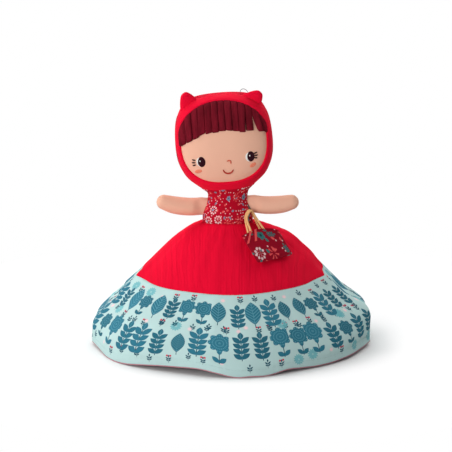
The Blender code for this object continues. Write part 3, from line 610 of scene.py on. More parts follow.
# %% A tree that crinkles a cloth
class Growth:
    """A geometry tree under construction, with named inputs."""

    def __init__(self, name, sizes):
        self.tree = bpy.data.node_groups.new(name, "GeometryNodeTree")
        socket = self.tree.interface.new_socket
        socket("Geometry", in_out="INPUT", socket_type="NodeSocketGeometry")
        for size, default in sizes.items():
            kind = "NodeSocketInt" if isinstance(default, int) else "NodeSocketFloat"
            socket(size, in_out="INPUT", socket_type=kind).default_value = default
        socket("Material", in_out="INPUT", socket_type="NodeSocketMaterial")
        socket("Geometry", in_out="OUTPUT", socket_type="NodeSocketGeometry")
        self.start, self.end = self.node("NodeGroupInput"), self.node("NodeGroupOutput")

    def node(self, kind, links=(), **settings):
        return add_node(self.tree, kind, links, **settings)

    def size(self, name):
        """One of the tree's inputs."""
        return Field(self.tree, self.start.outputs[name])

    def scaled(self, way, amount):
        """A direction made as long as a number says."""
        links = [(0, way), ("Scale", amount)]
        return self.node("ShaderNodeVectorMath", links, operation="SCALE").outputs[0]

    def close(self, geometry):
        """Ends the tree with Realize Instances and Set Material."""
        real = self.node("GeometryNodeRealizeInstances", [(0, geometry)])
        links = [("Geometry", real.outputs[0]), ("Material", self.size("Material"))]
        dress = self.node("GeometryNodeSetMaterial", links)
        self.tree.links.new(dress.outputs[0], self.end.inputs[0])
        return self.tree


def grown(name, piece, tree, **sizes):
    """Runs a tree on a piece and keeps the result as a plain mesh under this name."""
    modifier = piece.modifiers.new("grow", "NODES")
    modifier.node_group = tree
    for item in tree.interface.items_tree:
        if item.item_type == "SOCKET" and item.in_out == "INPUT" and item.name in sizes:
            modifier[item.identifier] = sizes[item.name]
    bpy.context.view_layer.update()
    graph = bpy.context.evaluated_depsgraph_get()
    mesh = bpy.data.meshes.new_from_object(piece.evaluated_get(graph), depsgraph=graph)
    bpy.data.objects.remove(piece)
    mesh.name = name
    mesh.shade_smooth()
    return in_scene(name, mesh)


def crinkle_tree():
    """Moves the points marked as a cloth's outer side in and out, in waves across its grain."""
    made = Growth("crinkled_cloth", {"Spacing": 0.005, "Depth": 0.0003, "Wander": 1.0, "Seed": 3})
    grain, outer = (
        Field(made.tree, made.node("GeometryNodeInputNamedAttribute", Name=name).outputs["Attribute"])
        for name in ("grain", "outer_side")
    )
    place = made.node("GeometryNodeInputPosition").outputs[0]
    links = [("Vector", place), ("W", made.size("Seed"))]
    drift = made.node("ShaderNodeTexNoise", links, noise_dimensions="4D", Scale=22.0)
    drift = Field(made.tree, drift.outputs["Fac"])
    wander = (drift - 0.5) * made.size("Wander")
    wave = ((grain / made.size("Spacing") + wander) * math.tau).math("SINE")
    uneven = (drift * 4.0 - 1.5).most(0.0).least(1.2)
    depth = wave * uneven * made.size("Depth") * outer
    push = made.scaled(made.node("GeometryNodeInputNormal").outputs[0], depth)
    links = [("Geometry", made.size("Geometry")), ("Offset", push)]
    return made.close(made.node("GeometryNodeSetPosition", links).outputs[0])


CRINKLED = crinkle_tree()
print("crinkle tree:", len(CRINKLED.nodes), "nodes")

# %% [markdown]
# The gauze's material repeats the folds in its colour: faint paler and darker stripes along its grain, a
# painted highlight on the crests and painted shade between them.

# %% Red gauze
GAUZE_SPACING = 0.0082
GAUZE_WARP, GAUZE_WEFT = 0.0017, 0.0016


def red_gauze():
    """Open weave with upright folds, with a painted highlight on their crests and painted shade between
    them.
    """
    made = Shades("red_double_gauze", 0.95, 0.06, RED, 0.5)
    v = made.uv()[1]
    grain = made.mark("grain")
    place = made.spot(grain, v)
    warp, weft = threads(grain, GAUZE_WARP), threads(v, GAUZE_WEFT)
    drift = made.noise(made.spot(grain, v * 0.35), 30.0, 3.0)
    ridge = ((grain / GAUZE_SPACING + drift * 3.0) * math.tau).math("SINE")
    fine_fold_relief_and_painted_shade = ((grain / GAUZE_SPACING * 2.3 + drift * 7.0) * math.tau).math("SINE")
    broad = made.noise(place, 14.0, 3.0)
    patch = made.noise(made.spot(grain * 0.6, v * 0.4), 26.0, 2.0)
    patch = patch.math("MULTIPLY_ADD", 3.2, -1.15, clamp=True)
    # The fold waves paint highlight on the crests and shade between them into the colour here; the same
    # waves also give the relief below.
    shade = (ridge * 0.16 + fine_fold_relief_and_painted_shade * 0.07) * patch + broad * 0.9 + warp * weft * 0.10
    shade = shade.math("ADD", 0.05, clamp=True)
    made.colour(made.mix(shade, tinted(RED, 0.82), tinted(RED, 1.14)))
    made.bump((ridge * 0.5 + fine_fold_relief_and_painted_shade * 0.3) * patch + (warp + weft) * 0.12 + drift * 0.8, 0.00028)
    return made.material


gauze = red_gauze()
print("gauze material:", len(gauze.node_tree.nodes), "nodes")

# %% [markdown]
# The gauze is pulled in at its seams, tucked at the waist and lifted over the waist seam in front.

# %% Gauze of the skirt
SEAM_HALF_GAP_SHARE = 0.0001 / SKIRT_SLANT
CLOTH_SHEET, SIDE_SEAM_DIP, SIDE_SEAM_REACH = 0.0009, 0.0005, 0.0014


def seam_dip(share, at, depth, width=0.0016):
    """How far a cloth is pulled in at a seam that runs round it."""
    return depth * np.exp(-(((share - at) * SKIRT_SLANT / width) ** 2))


def side_seam_dip(angle, radius):
    """How far a cloth is pulled in at the two side seams."""
    away = np.abs(np.abs(angle) - SIDE_SEAM_ANGLE) * radius
    return SIDE_SEAM_DIP * np.exp(-((away / SIDE_SEAM_REACH) ** 2))


points, normal, uv, share, angle = skirt_grid(0.0, BORDER_START_SHARE - SEAM_HALF_GAP_SHARE, 92)
radius = np.hypot(points[..., 0] + SKIRT_LEAN, points[..., 1])
soft = 0.0006 * ring_ripple(angle, 19, 2.0) * ease(share / 0.1)
sink = seam_dip(share, BORDER_START_SHARE, 0.0007) + side_seam_dip(angle, radius) - soft
gauze_points = points - normal * sink[..., None]
near_waist = np.exp(-((share / 0.045) ** 2))
front = np.clip(np.cos(angle), 0.0, 1.0) ** 0.7
tuck = 0.00035 * ring_ripple(angle, 61, 9.0) * np.exp(-((share / 0.10) ** 2))
WAIST_PUFF, WAIST_PUFF_LIFT = 0.0013, 0.0034
gauze_points += around(angle) * ((WAIST_PUFF * front + 0.0003) * near_waist + tuck)[..., None]
gauze_points[..., 2] += WAIST_PUFF_LIFT * front * near_waist
gauze_base = cloth_shell(
    "gauze_base", gauze_points, uv, CLOTH_SHEET, gauze, marks={"grain": points[..., 0].copy()}
)
skirt_gauze = grown(
    "skirt_gauze", gauze_base, CRINKLED, Spacing=GAUZE_SPACING, Depth=0.00008, Wander=2.6,
    Seed=3, Material=gauze,
)
print("gauze:", len(skirt_gauze.data.polygons), "faces")

# %% [markdown]
# ## The printed border
# The border is smooth mint cotton, sewn to the gauze above and stitched to the lining 8 mm above
# the floor. A print belongs to the material and not to the mesh, because it has no thickness. Its
# motifs are drawn with formulas on the cloth's own UV map: leafy sprigs, round flower heads, single
# leaves, berries and dots, laid out in staggered rows.


# %% Motifs
def turned(x, y, angle):
    """The place seen in a frame turned by a fixed angle."""
    c, s = math.cos(angle), math.sin(angle)
    return x * c + y * s, y * c - x * s


def spun(x, y, angle):
    """The place seen in a frame turned by an angle that differs from motif to motif."""
    c, s = angle.math("COSINE"), angle.math("SINE")
    return x * c + y * s, y * c - x * s


def leaf_distance(x, y, long, wide):
    """Distance to a pointed leaf that lies along y from 0 to long: below zero is inside it."""
    middle = (y - long / 2) / (long / 2)
    return x.math("ABSOLUTE") - (1.0 - middle * middle) * wide


def disc_distance(x, y, radius):
    return (x * x + y * y).math("SQRT") - radius


def bar_distance(x, y, low, high, wide):
    """Distance to a thin upright bar."""
    return (x.math("ABSOLUTE") - wide).most(y - high).most(y * -1.0 + low)


def sprig_distance(x, y, height, pairs, long, wide):
    """A stem with pairs of leaves that point up and out, and one leaf on top."""
    gap = height / (pairs + 0.8)
    step = (y / gap).math("FLOOR").most(0.0).least(pairs - 1.0)
    side_x, side_y = turned(x.math("ABSOLUTE"), y - step * gap, math.radians(-48))
    pair = leaf_distance(side_x, side_y, long, wide)
    top = leaf_distance(x, y - height * 0.78, long * 0.8, wide)
    return pair.least(top), bar_distance(x, y, -0.0022, height * 0.84, long * 0.04)


def flower_distance(x, y, radius, petals, depth):
    """A round flower head with round petals and a notch between each two."""
    far = (x * x + y * y).math("SQRT")
    spin = y.math("ARCTAN2", x)
    petal = (spin * (petals / 2)).math("COSINE").math("ABSOLUTE")
    return far - (petal * depth + (1.0 - depth)) * radius, far, spin


def row_of_cells(made, angle, down, reach, cells, seed, middle, jitter):
    """Splits the way round into cells: the place in a cell, in metres, and three chances for it."""
    turn = angle * (cells / math.tau) + 0.37 * seed + 100.0
    cell = turn.math("FLOOR")
    first, second, third = made.chance(made.spot(cell, seed, 2.5))
    x = (turn - cell - 0.5 - (first - 0.5) * jitter) * reach * (math.tau / cells)
    y = middle + (second - 0.5) * 0.0070 - down
    kind = made.chance(made.spot(cell, seed, 7.5))[0]
    return x, y, kind, third


def big_motif(made, ink, x, y, height, kind, chance):
    """One tall motif over the ink so far: a leafy sprig, a flower on its stem or one veined leaf."""
    small = 0.82 + chance * 0.30
    x, y = x / small, y / small + height / 2
    is_sprig = kind.math("LESS_THAN", 0.42)
    is_flower = kind.math("GREATER_THAN", 0.70)
    is_leaf = 1.0 - is_sprig - is_flower
    leaves, sprig_stem = sprig_distance(x, y, height, 4, height * 0.38, height * 0.098)
    head, far, spin = flower_distance(x, y - height * 0.68, height * 0.34, 8, 0.22)
    foot = sprig_distance(x, y, height * 0.34, 1, height * 0.27, height * 0.075)[0]
    blade = leaf_distance(x, y - height * 0.08, height * 0.94, height * 0.27)
    stem = bar_distance(x, y, -0.0010, height * 0.5, 0.00045)
    veins = threads(y - x.math("ABSOLUTE") * 0.9, 0.0038).math("GREATER_THAN", 0.45)
    rib = (x.math("ABSOLUTE") - 0.00035).inside(0.0002)
    rings = threads(far, height * 0.09)
    petals = (rings + (spin * 24.0).math("SINE") * 0.9).math("GREATER_THAN", 0.62)
    body = leaves * is_sprig + head.least(foot) * is_flower + blade * is_leaf
    stalk = sprig_stem * is_sprig + stem * (1.0 - is_sprig)
    shade = made.mix(chance, tinted(TEAL, 0.78), tinted(TEAL, 1.2))
    ink = made.mix(stalk.inside(0.00025), ink, DARK_TEAL)
    ink = made.mix(body.inside(0.00025), ink, shade)
    lines = (veins * is_leaf).most(rib * is_leaf).most(petals * is_flower * head.inside(0.0002))
    lines = lines.most(rib * is_sprig * 0.8)
    return made.mix(body.inside(0.0001) * lines * 0.62, ink, PALE_TEAL)


def small_motif(made, ink, x, y, kind):
    """One small motif: a dark sprig, two berries on it, a pale burst or a pink dot."""
    is_berry = kind.math("LESS_THAN", 0.34)
    is_dot = kind.math("GREATER_THAN", 0.82)
    is_burst = kind.math("GREATER_THAN", 0.64) * (1.0 - is_dot)
    is_sprig = 1.0 - is_dot - is_burst
    leaves, stem = sprig_distance(x, y + 0.003, 0.0062, 2, 0.0044, 0.0009)
    burst, far, spin = flower_distance(x, y, 0.0068, 13, 0.32)
    heart = (far - 0.0012).inside(0.0003)
    rays = (spin * 13.0).math("COSINE").math("GREATER_THAN", -0.1) * heart * -1.0 + 1.0
    apart = x.math("ABSOLUTE") - 0.0019
    berries = disc_distance(apart, y - 0.0042, 0.00125)
    ink = made.mix(burst.inside(0.0003) * rays * is_burst * 0.85, ink, BURST_TEAL)
    ink = made.mix(leaves.least(stem).inside(0.00025) * is_sprig, ink, DARK_TEAL)
    ink = made.mix(berries.inside(0.0003) * is_berry, ink, BERRY)
    return made.mix(disc_distance(x, y, 0.0021).inside(0.0016) * is_dot, ink, BLUSH)


# Rows of motifs: cells round the skirt, seed, middle below the seam, and for a big motif its height
SMALL_ROWS = ((36, 5.0, 0.0105), (44, 8.0, 0.0505), (40, 15.0, 0.0480), (44, 21.0, 0.0925))
BIG_ROWS = ((38, 3.0, 0.0290, 0.0310), (38, 11.0, 0.0715, 0.0350))
BORDER_REACH = 0.13
FINE_THREAD = 0.0005


def border_print():
    """Mint cotton with a print of leaves, flower heads and berries in teal and red."""
    made = Shades("mint_printed_cotton", 0.9, 0.05, MINT, 0.5)
    angle, down = made.uv()
    reach = made.mark("cloth_radius")
    place = made.spot(angle * BORDER_REACH, down)
    ink = made.mix(made.noise(place, 26.0, 3.0), tinted(MINT, 0.93), tinted(MINT, 1.06))
    for cells, seed, middle in SMALL_ROWS:
        x, y, kind = row_of_cells(made, angle, down, reach, cells, seed, middle, 0.45)[:3]
        ink = small_motif(made, ink, x, y, kind)
    for cells, seed, middle, height in BIG_ROWS:
        x, y, kind, chance = row_of_cells(made, angle, down, reach, cells, seed, middle, 0.16)
        ink = big_motif(made, ink, x, y, height, kind, chance)
    made.colour(ink)
    weave = threads(angle, FINE_THREAD / BORDER_REACH) * threads(down, FINE_THREAD)
    made.bump(weave * 0.15 + made.noise(place, 60.0, 3.0), 0.0005, 0.6)
    return made.material


mint_print = border_print()
print("border print:", len(mint_print.node_tree.nodes), "nodes")

# %% [markdown]
# The border's cloth puckers along the seam above it and along the hem's topstitching, where the
# thread draws it in. Its lower edge stands just off the floor, so that it casts a thin dark shadow.

# %% Border and hem
HEM_LIFT = 0.0012
HEM_FLARE = 0.0009
hem_share = 1 - HEM_BAND / SKIRT_SLANT
points, normal, uv, share, angle = skirt_grid(BORDER_START_SHARE + SEAM_HALF_GAP_SHARE, 1.0, 96)
radius = np.hypot(points[..., 0] + SKIRT_LEAN, points[..., 1])
below = (share - BORDER_START_SHARE) * SKIRT_SLANT
near_hem = np.exp(-(((share - hem_share) * SKIRT_SLANT / 0.007) ** 2))
pucker = 0.00050 * ring_ripple(angle, 113, 5.0) * near_hem
near_seam = np.exp(-((below / 0.0035) ** 2))
pucker = pucker + 0.00035 * ring_ripple(angle, 137, 6.0) * near_seam
soft = 0.0010 * ring_ripple(angle, 23, 7.0) * np.sin(math.pi * np.clip(below / 0.075, 0, 1))
sink = seam_dip(share, BORDER_START_SHARE, 0.0006) + side_seam_dip(angle, radius)
sink = sink + seam_dip(share, hem_share, 0.0005, 0.0009) - pucker - soft
border_points = points - normal * sink[..., None]
lifted = HEM_FLARE * ease(below / below.max()) ** 2
border_points[..., 2] = np.maximum(border_points[..., 2] + lifted, HEM_LIFT)
border_uv = uv.copy()
border_uv[..., 1] -= BORDER_START_SHARE * SKIRT_SLANT
skirt_border = cloth_shell(
    "skirt_border", border_points, border_uv, CLOTH_SHEET, mint_print, marks={"cloth_radius": radius}
)
print("border:", len(skirt_border.data.polygons), "faces")

# %% [markdown]
# The lining lies 0.4 mm under the outer cloth, and its lower edge shows as a thin pink line below
# the hem. There it comes forward to the outer cloth, because the two are stitched together.

# %% Lining
LINING_SHEET, LINING_EDGE, LINING_LOW, LINING_REACH = 0.0008, 0.0022, 0.00045, 0.12
points, normal, uv, share, angle = skirt_grid(0.0, 1.0, 74)
forward = ease((share * SKIRT_SLANT - (SKIRT_SLANT - LINING_EDGE)) / LINING_EDGE)
sink = (CLOTH + LINING_GAP) * (1 - forward) + 0.00025 * forward
lining_points = points - normal * sink[..., None]
lining_points[..., 2] = np.maximum(lining_points[..., 2], LINING_LOW)
lining_uv = np.stack([uv[..., 0] * LINING_REACH, uv[..., 1]], -1)
skirt_lining = cloth_shell("skirt_lining_cloth", lining_points, lining_uv, LINING_SHEET, lining_cotton)
print("lining:", len(skirt_lining.data.polygons), "faces")

# %% [markdown]
# ## Two dolls from one set of rules
# Both dolls are cut from the same few shapes: a bodice, two arms, and a head whose front view is an
# outline and whose sections from above are rounded ovals. A doll's own frame has its origin at the
# waist and its own up, and a matrix turns the second doll head down.

# %% Sizes of the dolls
NECK_RISE, NECK_SLACK, BALL_GAP = 0.0040, 0.0060, 0.0004
BALL_RADIUS = math.hypot(NECK_HALF_WIDTH - CLOTH, NECK_RISE + NECK_SLACK) - BALL_GAP
BALL_DEPTH_SHARE = (NECK_HALF_DEPTH - CLOTH - BALL_GAP) / (NECK_HALF_WIDTH - CLOTH - BALL_GAP)
NECK_BLEND_SHARE, HEAD_SECTION_POWER, FACE_POWER = 0.13, 2.35, 2.25
BODICE_HEIGHT = 0.0350
ARM_ROOT_RADIUS, ARM_MIDDLE_RADIUS, ARM_TIP_RADIUS = 0.0095, 0.0094, 0.0079
ARM_REACH, ARM_TIP_RISE, SHOULDER_HALF_SPAN = 0.0402, 0.0042, 0.0270
HEAD_SIDE_SHARES = (
    (0.62, 0.08), (0.80, 0.16), (0.90, 0.24), (0.97, 0.33), (1.00, 0.45), (0.995, 0.60),
    (0.96, 0.735), (0.89, 0.83), (0.78, 0.915), (0.60, 0.970), (0.30, 0.995), (0.0, 1.0),
)
HEAD_DEPTH_SHARES = (
    (0.46, 0.0), (0.64, 0.08), (0.78, 0.17), (0.92, 0.31), (1.00, 0.48), (0.97, 0.64),
    (0.86, 0.78), (0.70, 0.89), (0.48, 0.96), (0.24, 0.993), (0.0, 1.0),
)
HEAD_DEPTH_LINE = smooth_line(HEAD_DEPTH_SHARES)
print("neck's ball:", round(BALL_RADIUS * 1000, 1), "mm in radius")

# %% [markdown]
# The hood, the face, the hair and the embroidery all ask one rule where the head's surface is, so
# they lie on each other. Below its seam the head is a ball, which can tip in the bodice's neck.

# %% One doll's rules
def upright(turn=0.0):
    """A turn about the axis that points at the viewer."""
    return Matrix.Rotation(turn, 4, "Y")


class Doll:
    """One doll's sizes, its frame and its head's rule."""

    def __init__(self, name, frame_matrix, head, face, tilt, arm_raise):
        self.name, self.frame, self.arm_raise = name, frame_matrix, arm_raise
        self.head_height, self.half_width, self.half_depth = head
        face_side, face_crown, self.chin = face
        self.face_width = self.half_width - face_side
        self.face_height = (self.head_height - self.chin - face_crown) / 2
        self.opening_side = self.face_width + 0.0016
        self.opening_up, self.opening_down = self.face_height - 0.0020, self.face_height + 0.0030
        self.seam = -NECK_RISE
        self.centre = np.array([0.0, self.seam + self.chin + self.face_height])
        neck = Matrix.Translation((0.0, 0.0, BODICE_HEIGHT + NECK_RISE))
        self.head_frame = frame_matrix @ neck @ upright(tilt)
        seam_angle = math.asin(NECK_RISE / BALL_RADIUS)
        turn = np.linspace(math.pi / 2, seam_angle, 9)
        arc = np.stack([BALL_RADIUS * np.cos(turn), -BALL_RADIUS * np.sin(turn)], -1)
        sides = [
            (x * self.half_width, self.seam + z * self.head_height) for x, z in HEAD_SIDE_SHARES
        ]
        self.neck_side = smooth_line(arc.tolist())
        self.head_side = smooth_line([arc[-1].tolist(), *sides])
        self.side = np.vstack([self.neck_side, self.head_side[1:]])

    def above_neck(self, height):
        """0 on the neck's ball, 1 a little way up the head, and a straight blend between."""
        return np.clip((height - self.seam) / (self.head_height * NECK_BLEND_SHARE), 0.0, 1.0)

    def width_at(self, height):
        """Half width of the front view."""
        return np.maximum(np.interp(height, self.side[:, 1], self.side[:, 0]), 0.0003)

    def surface(self, x, height, front=True):
        """The head's points in front of (or behind) places in the front view."""
        share = (height - self.seam) / self.head_height
        full = self.half_depth * np.interp(share, HEAD_DEPTH_LINE[:, 1], HEAD_DEPTH_LINE[:, 0])
        neck = BALL_DEPTH_SHARE * self.width_at(height)
        deep = neck + (full - neck) * self.above_neck(height)
        power = 2 + (HEAD_SECTION_POWER - 2) * self.above_neck(height)
        inside = np.maximum(1 - np.minimum(np.abs(x) / self.width_at(height), 1.0) ** power, 0.0)
        depth = deep * inside ** (1 / power)
        return np.stack([x, -depth if front else depth, height], -1)

    def section(self, height):
        """Half width and half depth of the head at a height."""
        front = self.surface(np.array(0.0), np.array(height))
        return float(self.width_at(height)), float(-front[1])

    def face_normal(self, x, height):
        """Outward normal at places of the face."""
        step = 0.0004
        across = self.surface(x + step, height) - self.surface(x - step, height)
        up = self.surface(x, height + step) - self.surface(x, height - step)
        normal = np.cross(across, up)
        normal /= np.linalg.norm(normal, axis=-1, keepdims=True)
        return normal

    def on_face(self, x, height, rise):
        """Points that stand a little off the face."""
        x, height = np.asarray(x, float), np.asarray(height, float)
        lift = np.asarray(rise)[..., None] if np.ndim(rise) else rise
        return self.surface(x, height) + self.face_normal(x, height) * lift

    def edge(self, head_columns=54, neck_columns=10):
        """The outline of the front view, from the crown down one side and up the other."""
        half = along(self.head_side, np.linspace(1, 0, head_columns + 1))
        half = np.vstack([half, along(self.neck_side, np.linspace(1, 0, neck_columns + 1))[1:]])
        mirrored = half[1:-1][::-1] * (-1, 1)
        return np.vstack([half, mirrored])

    def opening(self, spoke):
        """How far out the face opening lies on each spoke, as a share of the spoke."""
        angle = np.arctan2(spoke[:, 0], spoke[:, 1])
        above = np.cos(angle) > 0
        power = np.where(above, FACE_POWER, FACE_POWER + 0.30)
        wide = np.abs(np.sin(angle)) / self.opening_side
        tall = np.abs(np.cos(angle)) / np.where(above, self.opening_up, self.opening_down)
        return (wide**power + tall**power) ** (-1 / power) / np.linalg.norm(spoke, axis=1)

    def ring(self, polar, front=True):
        """A ring of the head at these turns from the middle of the face (or back) to its edge."""
        place = self.centre + (self.edge() - self.centre) * np.sin(polar)[:, None]
        return self.surface(place[:, 0], place[:, 1], front)


# %% [markdown]
# The first doll stands on the waist, and the second hangs from it, head down.

# %% Both dolls, and maps for their cloth
above_waist = Matrix.Translation((-SKIRT_LEAN, 0.0, WAIST_HEIGHT))
below_waist = Matrix.Translation((-SKIRT_LEAN, 0.0, WAIST_HEIGHT - SKIRT_STACK)) @ upright(math.pi)
LOWER_HEAD_HEIGHT = WAIST_HEIGHT - SKIRT_STACK - BODICE_HEIGHT + FLOOR_CUT
# head: height, half width and half depth. face: hood beside it, above it and below it
UPPER = Doll(
    "upper", above_waist, head=(0.1054, 0.0512, 0.0330), face=(0.0062, 0.0018, 0.0170),
    tilt=math.radians(-4.5), arm_raise=0.0,
)
LOWER = Doll(
    "lower", below_waist, head=(LOWER_HEAD_HEIGHT, 0.0445, 0.0300),
    face=(0.0070, 0.0061, 0.0160), tilt=0.0, arm_raise=math.radians(36.0),
)


def cloth_uv(points, closed=True):
    """A UV map in metres for a grid: the way across and the way down."""
    wrapped = np.concatenate([points, points[:, :1]], 1) if closed else points
    across = np.linalg.norm(np.diff(wrapped, axis=1), axis=2)
    u = np.concatenate([np.zeros((len(points), 1)), np.cumsum(across, 1)], 1)
    down = np.linalg.norm(np.diff(wrapped, axis=0), axis=2)
    v = np.concatenate([np.zeros((1, wrapped.shape[1])), np.cumsum(down, 0)], 0)
    return np.stack([u, v], -1)


def front_uv(points):
    """A UV map in metres for a closed grid, flat from the front, for cloth whose grain hangs straight."""
    wrapped = np.concatenate([points, points[:, :1]], 1)
    return np.stack([wrapped[..., 0], wrapped[..., 2]], -1)


for doll in (UPPER, LOWER):
    print(doll.name, "doll's head:", round(doll.head_height * 1000, 1), "mm high")

# %% [markdown]
# ## Heads
# A head is one sack of jersey over loose fibre. The hood (or bonnet) is cut with an opening, its
# raw edge is turned under, and the face is a flat piece set into it. The hood's grid starts under
# the face, rolls over the turned edge and runs over the crown to the middle of the back.

# %% Face and hood
# Rows of the turned edge: (distance past the opening, rise above the head's surface)
EDGE_ROLL = (
    (-0.0020, -0.0028), (-0.0012, -0.0022), (-0.0006, -0.0012), (-0.0008, -0.0003),
    (-0.0006, 0.0004), (0.0, 0.0008), (0.0009, 0.0009), (0.0022, 0.0007), (0.0040, 0.0004),
    (0.0062, 0.0002),
)
HAIR_LIFT, SEAM_GROOVE, NECK_TUCK = 0.0011, 0.0005, 0.00030
LOWEST_POINT = 0.0003


def seam_turns(quarter=math.pi / 2):
    """Turns just before the edge of the head, where its front and back are sewn together."""
    return quarter - np.array([0.10, 0.055, 0.032, 0.016, 0.0])


def make_cover(doll, name, material):
    """The hood or bonnet: a turned edge round the face, the sides, the crown and the back."""
    spoke = doll.edge() - doll.centre
    length, opening = np.linalg.norm(spoke, axis=1), doll.opening(spoke)
    rings, rises = [], []
    over_hair = ease((spoke[:, 1] / doll.face_height + 0.10) / 0.30)
    for past, rise in EDGE_ROLL:
        rings.append(doll.ring(np.arcsin(np.clip(opening + past / length, 0, 1))))
        lift = HAIR_LIFT * over_hair * math.exp(-max(past, 0.0) / 0.0022) if rise > -0.001 else 0.0
        rises.append(rise + lift)
    first = np.arcsin(np.clip(opening + EDGE_ROLL[-1][0] / length, 0, 1))
    groove = -SEAM_GROOVE * np.array([0.0, 0.05, 0.35, 0.8, 1.0])
    for t in np.linspace(0, 1, 14)[1:]:
        rings.append(doll.ring(first * (1 - t) + seam_turns()[0] * t))
        rises.append(np.zeros(len(spoke)))
    for turn, dip in zip(seam_turns()[1:], groove[1:], strict=True):
        rings.append(doll.ring(np.full(len(spoke), turn)))
        rises.append(np.full(len(spoke), dip))
    for turn, dip in zip(seam_turns()[1:-1][::-1], groove[1:-1][::-1], strict=True):
        rings.append(doll.ring(np.full(len(spoke), turn), front=False))
        rises.append(np.full(len(spoke), dip))
    for t in np.linspace(0, 1, 38):
        rings.append(doll.ring(np.full(len(spoke), seam_turns()[0] * (1 - t)), front=False))
        rises.append(np.zeros(len(spoke)))
    points = np.stack(rings)
    normal = outward(points[len(EDGE_ROLL) :])
    rolled = points[: len(EDGE_ROLL)]
    normal = np.concatenate([doll.face_normal(rolled[..., 0], rolled[..., 2]), normal])
    rise = np.stack([np.broadcast_to(r, len(spoke)) for r in rises])
    low = np.exp(-np.clip(points[..., 2] - doll.seam, 0, None) / 0.0045)
    turn_round = np.arctan2(points[..., 0], -points[..., 1])
    rise = rise + NECK_TUCK * ring_ripple(turn_round, 29, 3.0) * low
    points = points + normal * rise[..., None]
    world = placed(points, doll.head_frame)
    world[..., 2] = np.maximum(world[..., 2], LOWEST_POINT)
    return grid_piece(name, world, front_uv(points), material)


def make_face(doll, name, material):
    """The face: a crowned panel whose edge runs under the turned edge of the hood."""
    spoke = doll.edge() - doll.centre
    length, opening = np.linalg.norm(spoke, axis=1), doll.opening(spoke)
    reach = np.arcsin(np.clip(opening + 0.0006 / length, 0, 1))
    rows = np.linspace(0, 1, 34)
    points = np.stack([doll.ring(reach * t) for t in rows])
    normal = doll.face_normal(points[..., 0], points[..., 2])
    sink = 0.0002 + 0.0010 * ease((rows - 0.80) / 0.20)
    points = points - normal * sink[:, None, None]
    back = points[::-1] + np.array([0.0, 0.0010, 0.0])
    grid = np.concatenate([points, back])
    return grid_piece(name, placed(grid, doll.head_frame), front_uv(grid), material)


hood = make_cover(UPPER, "hood", hood_jersey)
face = make_face(UPPER, "face_panel", peach_jersey)
bonnet = make_cover(LOWER, "bonnet", bonnet_jersey)
bonnet_face = make_face(LOWER, "bonnet_face_panel", peach_jersey)
print("heads:", len(hood.data.polygons), "faces in the hood")

# %% [markdown]
# ## Ears
# Each ear is two rounded pieces of jersey, sewn round their edge, turned and lightly stuffed. In
# side view it is a lens, and the seam shows as a fine ridge round it. Its foot is sunk in the hood.

# %% Ears on the hood
EAR_WIDTH, EAR_HEIGHT, EAR_THICKNESS, EAR_SETBACK = 0.0208, 0.0120, 0.0060, -0.0076
# Where each ear's foot lies on the hood, as shares of its half width and height, how far the ear
# leans outwards, and how far its tip slants back towards the crown
EAR_FEET = {
    "left": (-0.672, 0.936, math.radians(-34.0), 0.26),
    "right": (0.660, 0.924, math.radians(48.0), 0.0),
}
# One side of an ear from its tip to its foot, as shares of its width and height
EAR_SHARES = ((0.0, 1.0), (0.12, 0.965), (0.235, 0.80), (0.375, 0.43), (0.48, 0.0), (0.54, -0.45))
EAR_LINE = smooth_line(EAR_SHARES, 12)
EAR_FATTEST_SHARE, EAR_SEAM_RIDGE = 0.40, 0.035


def make_ear(side):
    """A stuffed lens of jersey: fattest in the middle, pinched to a crease at its foot."""
    across, up, lean, slant = EAR_FEET[side]
    half = along(EAR_LINE * (EAR_WIDTH, EAR_HEIGHT), np.linspace(0, 1, 25))
    middle = EAR_HEIGHT * EAR_FATTEST_SHARE
    outline = np.vstack([half, half[1:][::-1] * (-1, 1)])
    outline[:, 0] += slant * outline[:, 1]
    centre = np.array([slant * middle, middle])
    outline = outline - centre
    foot = (UPPER.half_width * across, EAR_SETBACK, UPPER.seam + UPPER.head_height * up)
    place = UPPER.head_frame @ Matrix.Translation(foot) @ upright(lean)
    rings = []
    for turn in np.linspace(0, math.pi, 33):
        wide = np.sin(turn) ** 0.9
        deep = -EAR_THICKNESS / 2 * np.cos(turn)
        ridge = 1 + EAR_SEAM_RIDGE * np.exp(-(((turn - math.pi / 2) / 0.10) ** 2))
        x = centre[0] + outline[:, 0] * wide * ridge
        z = centre[1] + outline[:, 1] * wide * ridge
        rings.append(np.stack([x, np.full(len(outline), deep), z], -1))
    points = np.stack(rings)
    return grid_piece(f"ear_{side}", placed(points, place), front_uv(points), hood_jersey)


ears = {side: make_ear(side) for side in EAR_FEET}
print("ears:", len(ears["left"].data.polygons), "faces each")

# %% [markdown]
# ## Bodices
# The bodice is a tube of thin printed cotton over the fibre core. Its waist is sewn into the skirt
# and its neck edge closes round the neck, which tips with the head, so the tube's last rows turn
# from round the body to round the head's ball.

# %% Rule of a bodice
BODICE_SHEET, BODICE_LOW, BODICE_GATHER = 0.0008, -0.0012, 0.00022
COLLAR_RISE, COLLAR_DROP, COLLAR_GAP = 0.0012, 0.0095, 0.0007


def body_half_axes(height, top):
    """Half width and half depth of a bodice between its waist and its neck."""
    share = ease(height / top) ** 2.5
    width = WAIST_HALF_WIDTH + (NECK_HALF_WIDTH - WAIST_HALF_WIDTH) * share
    depth = WAIST_HALF_DEPTH + (NECK_HALF_DEPTH - WAIST_HALF_DEPTH) * share
    return width, depth


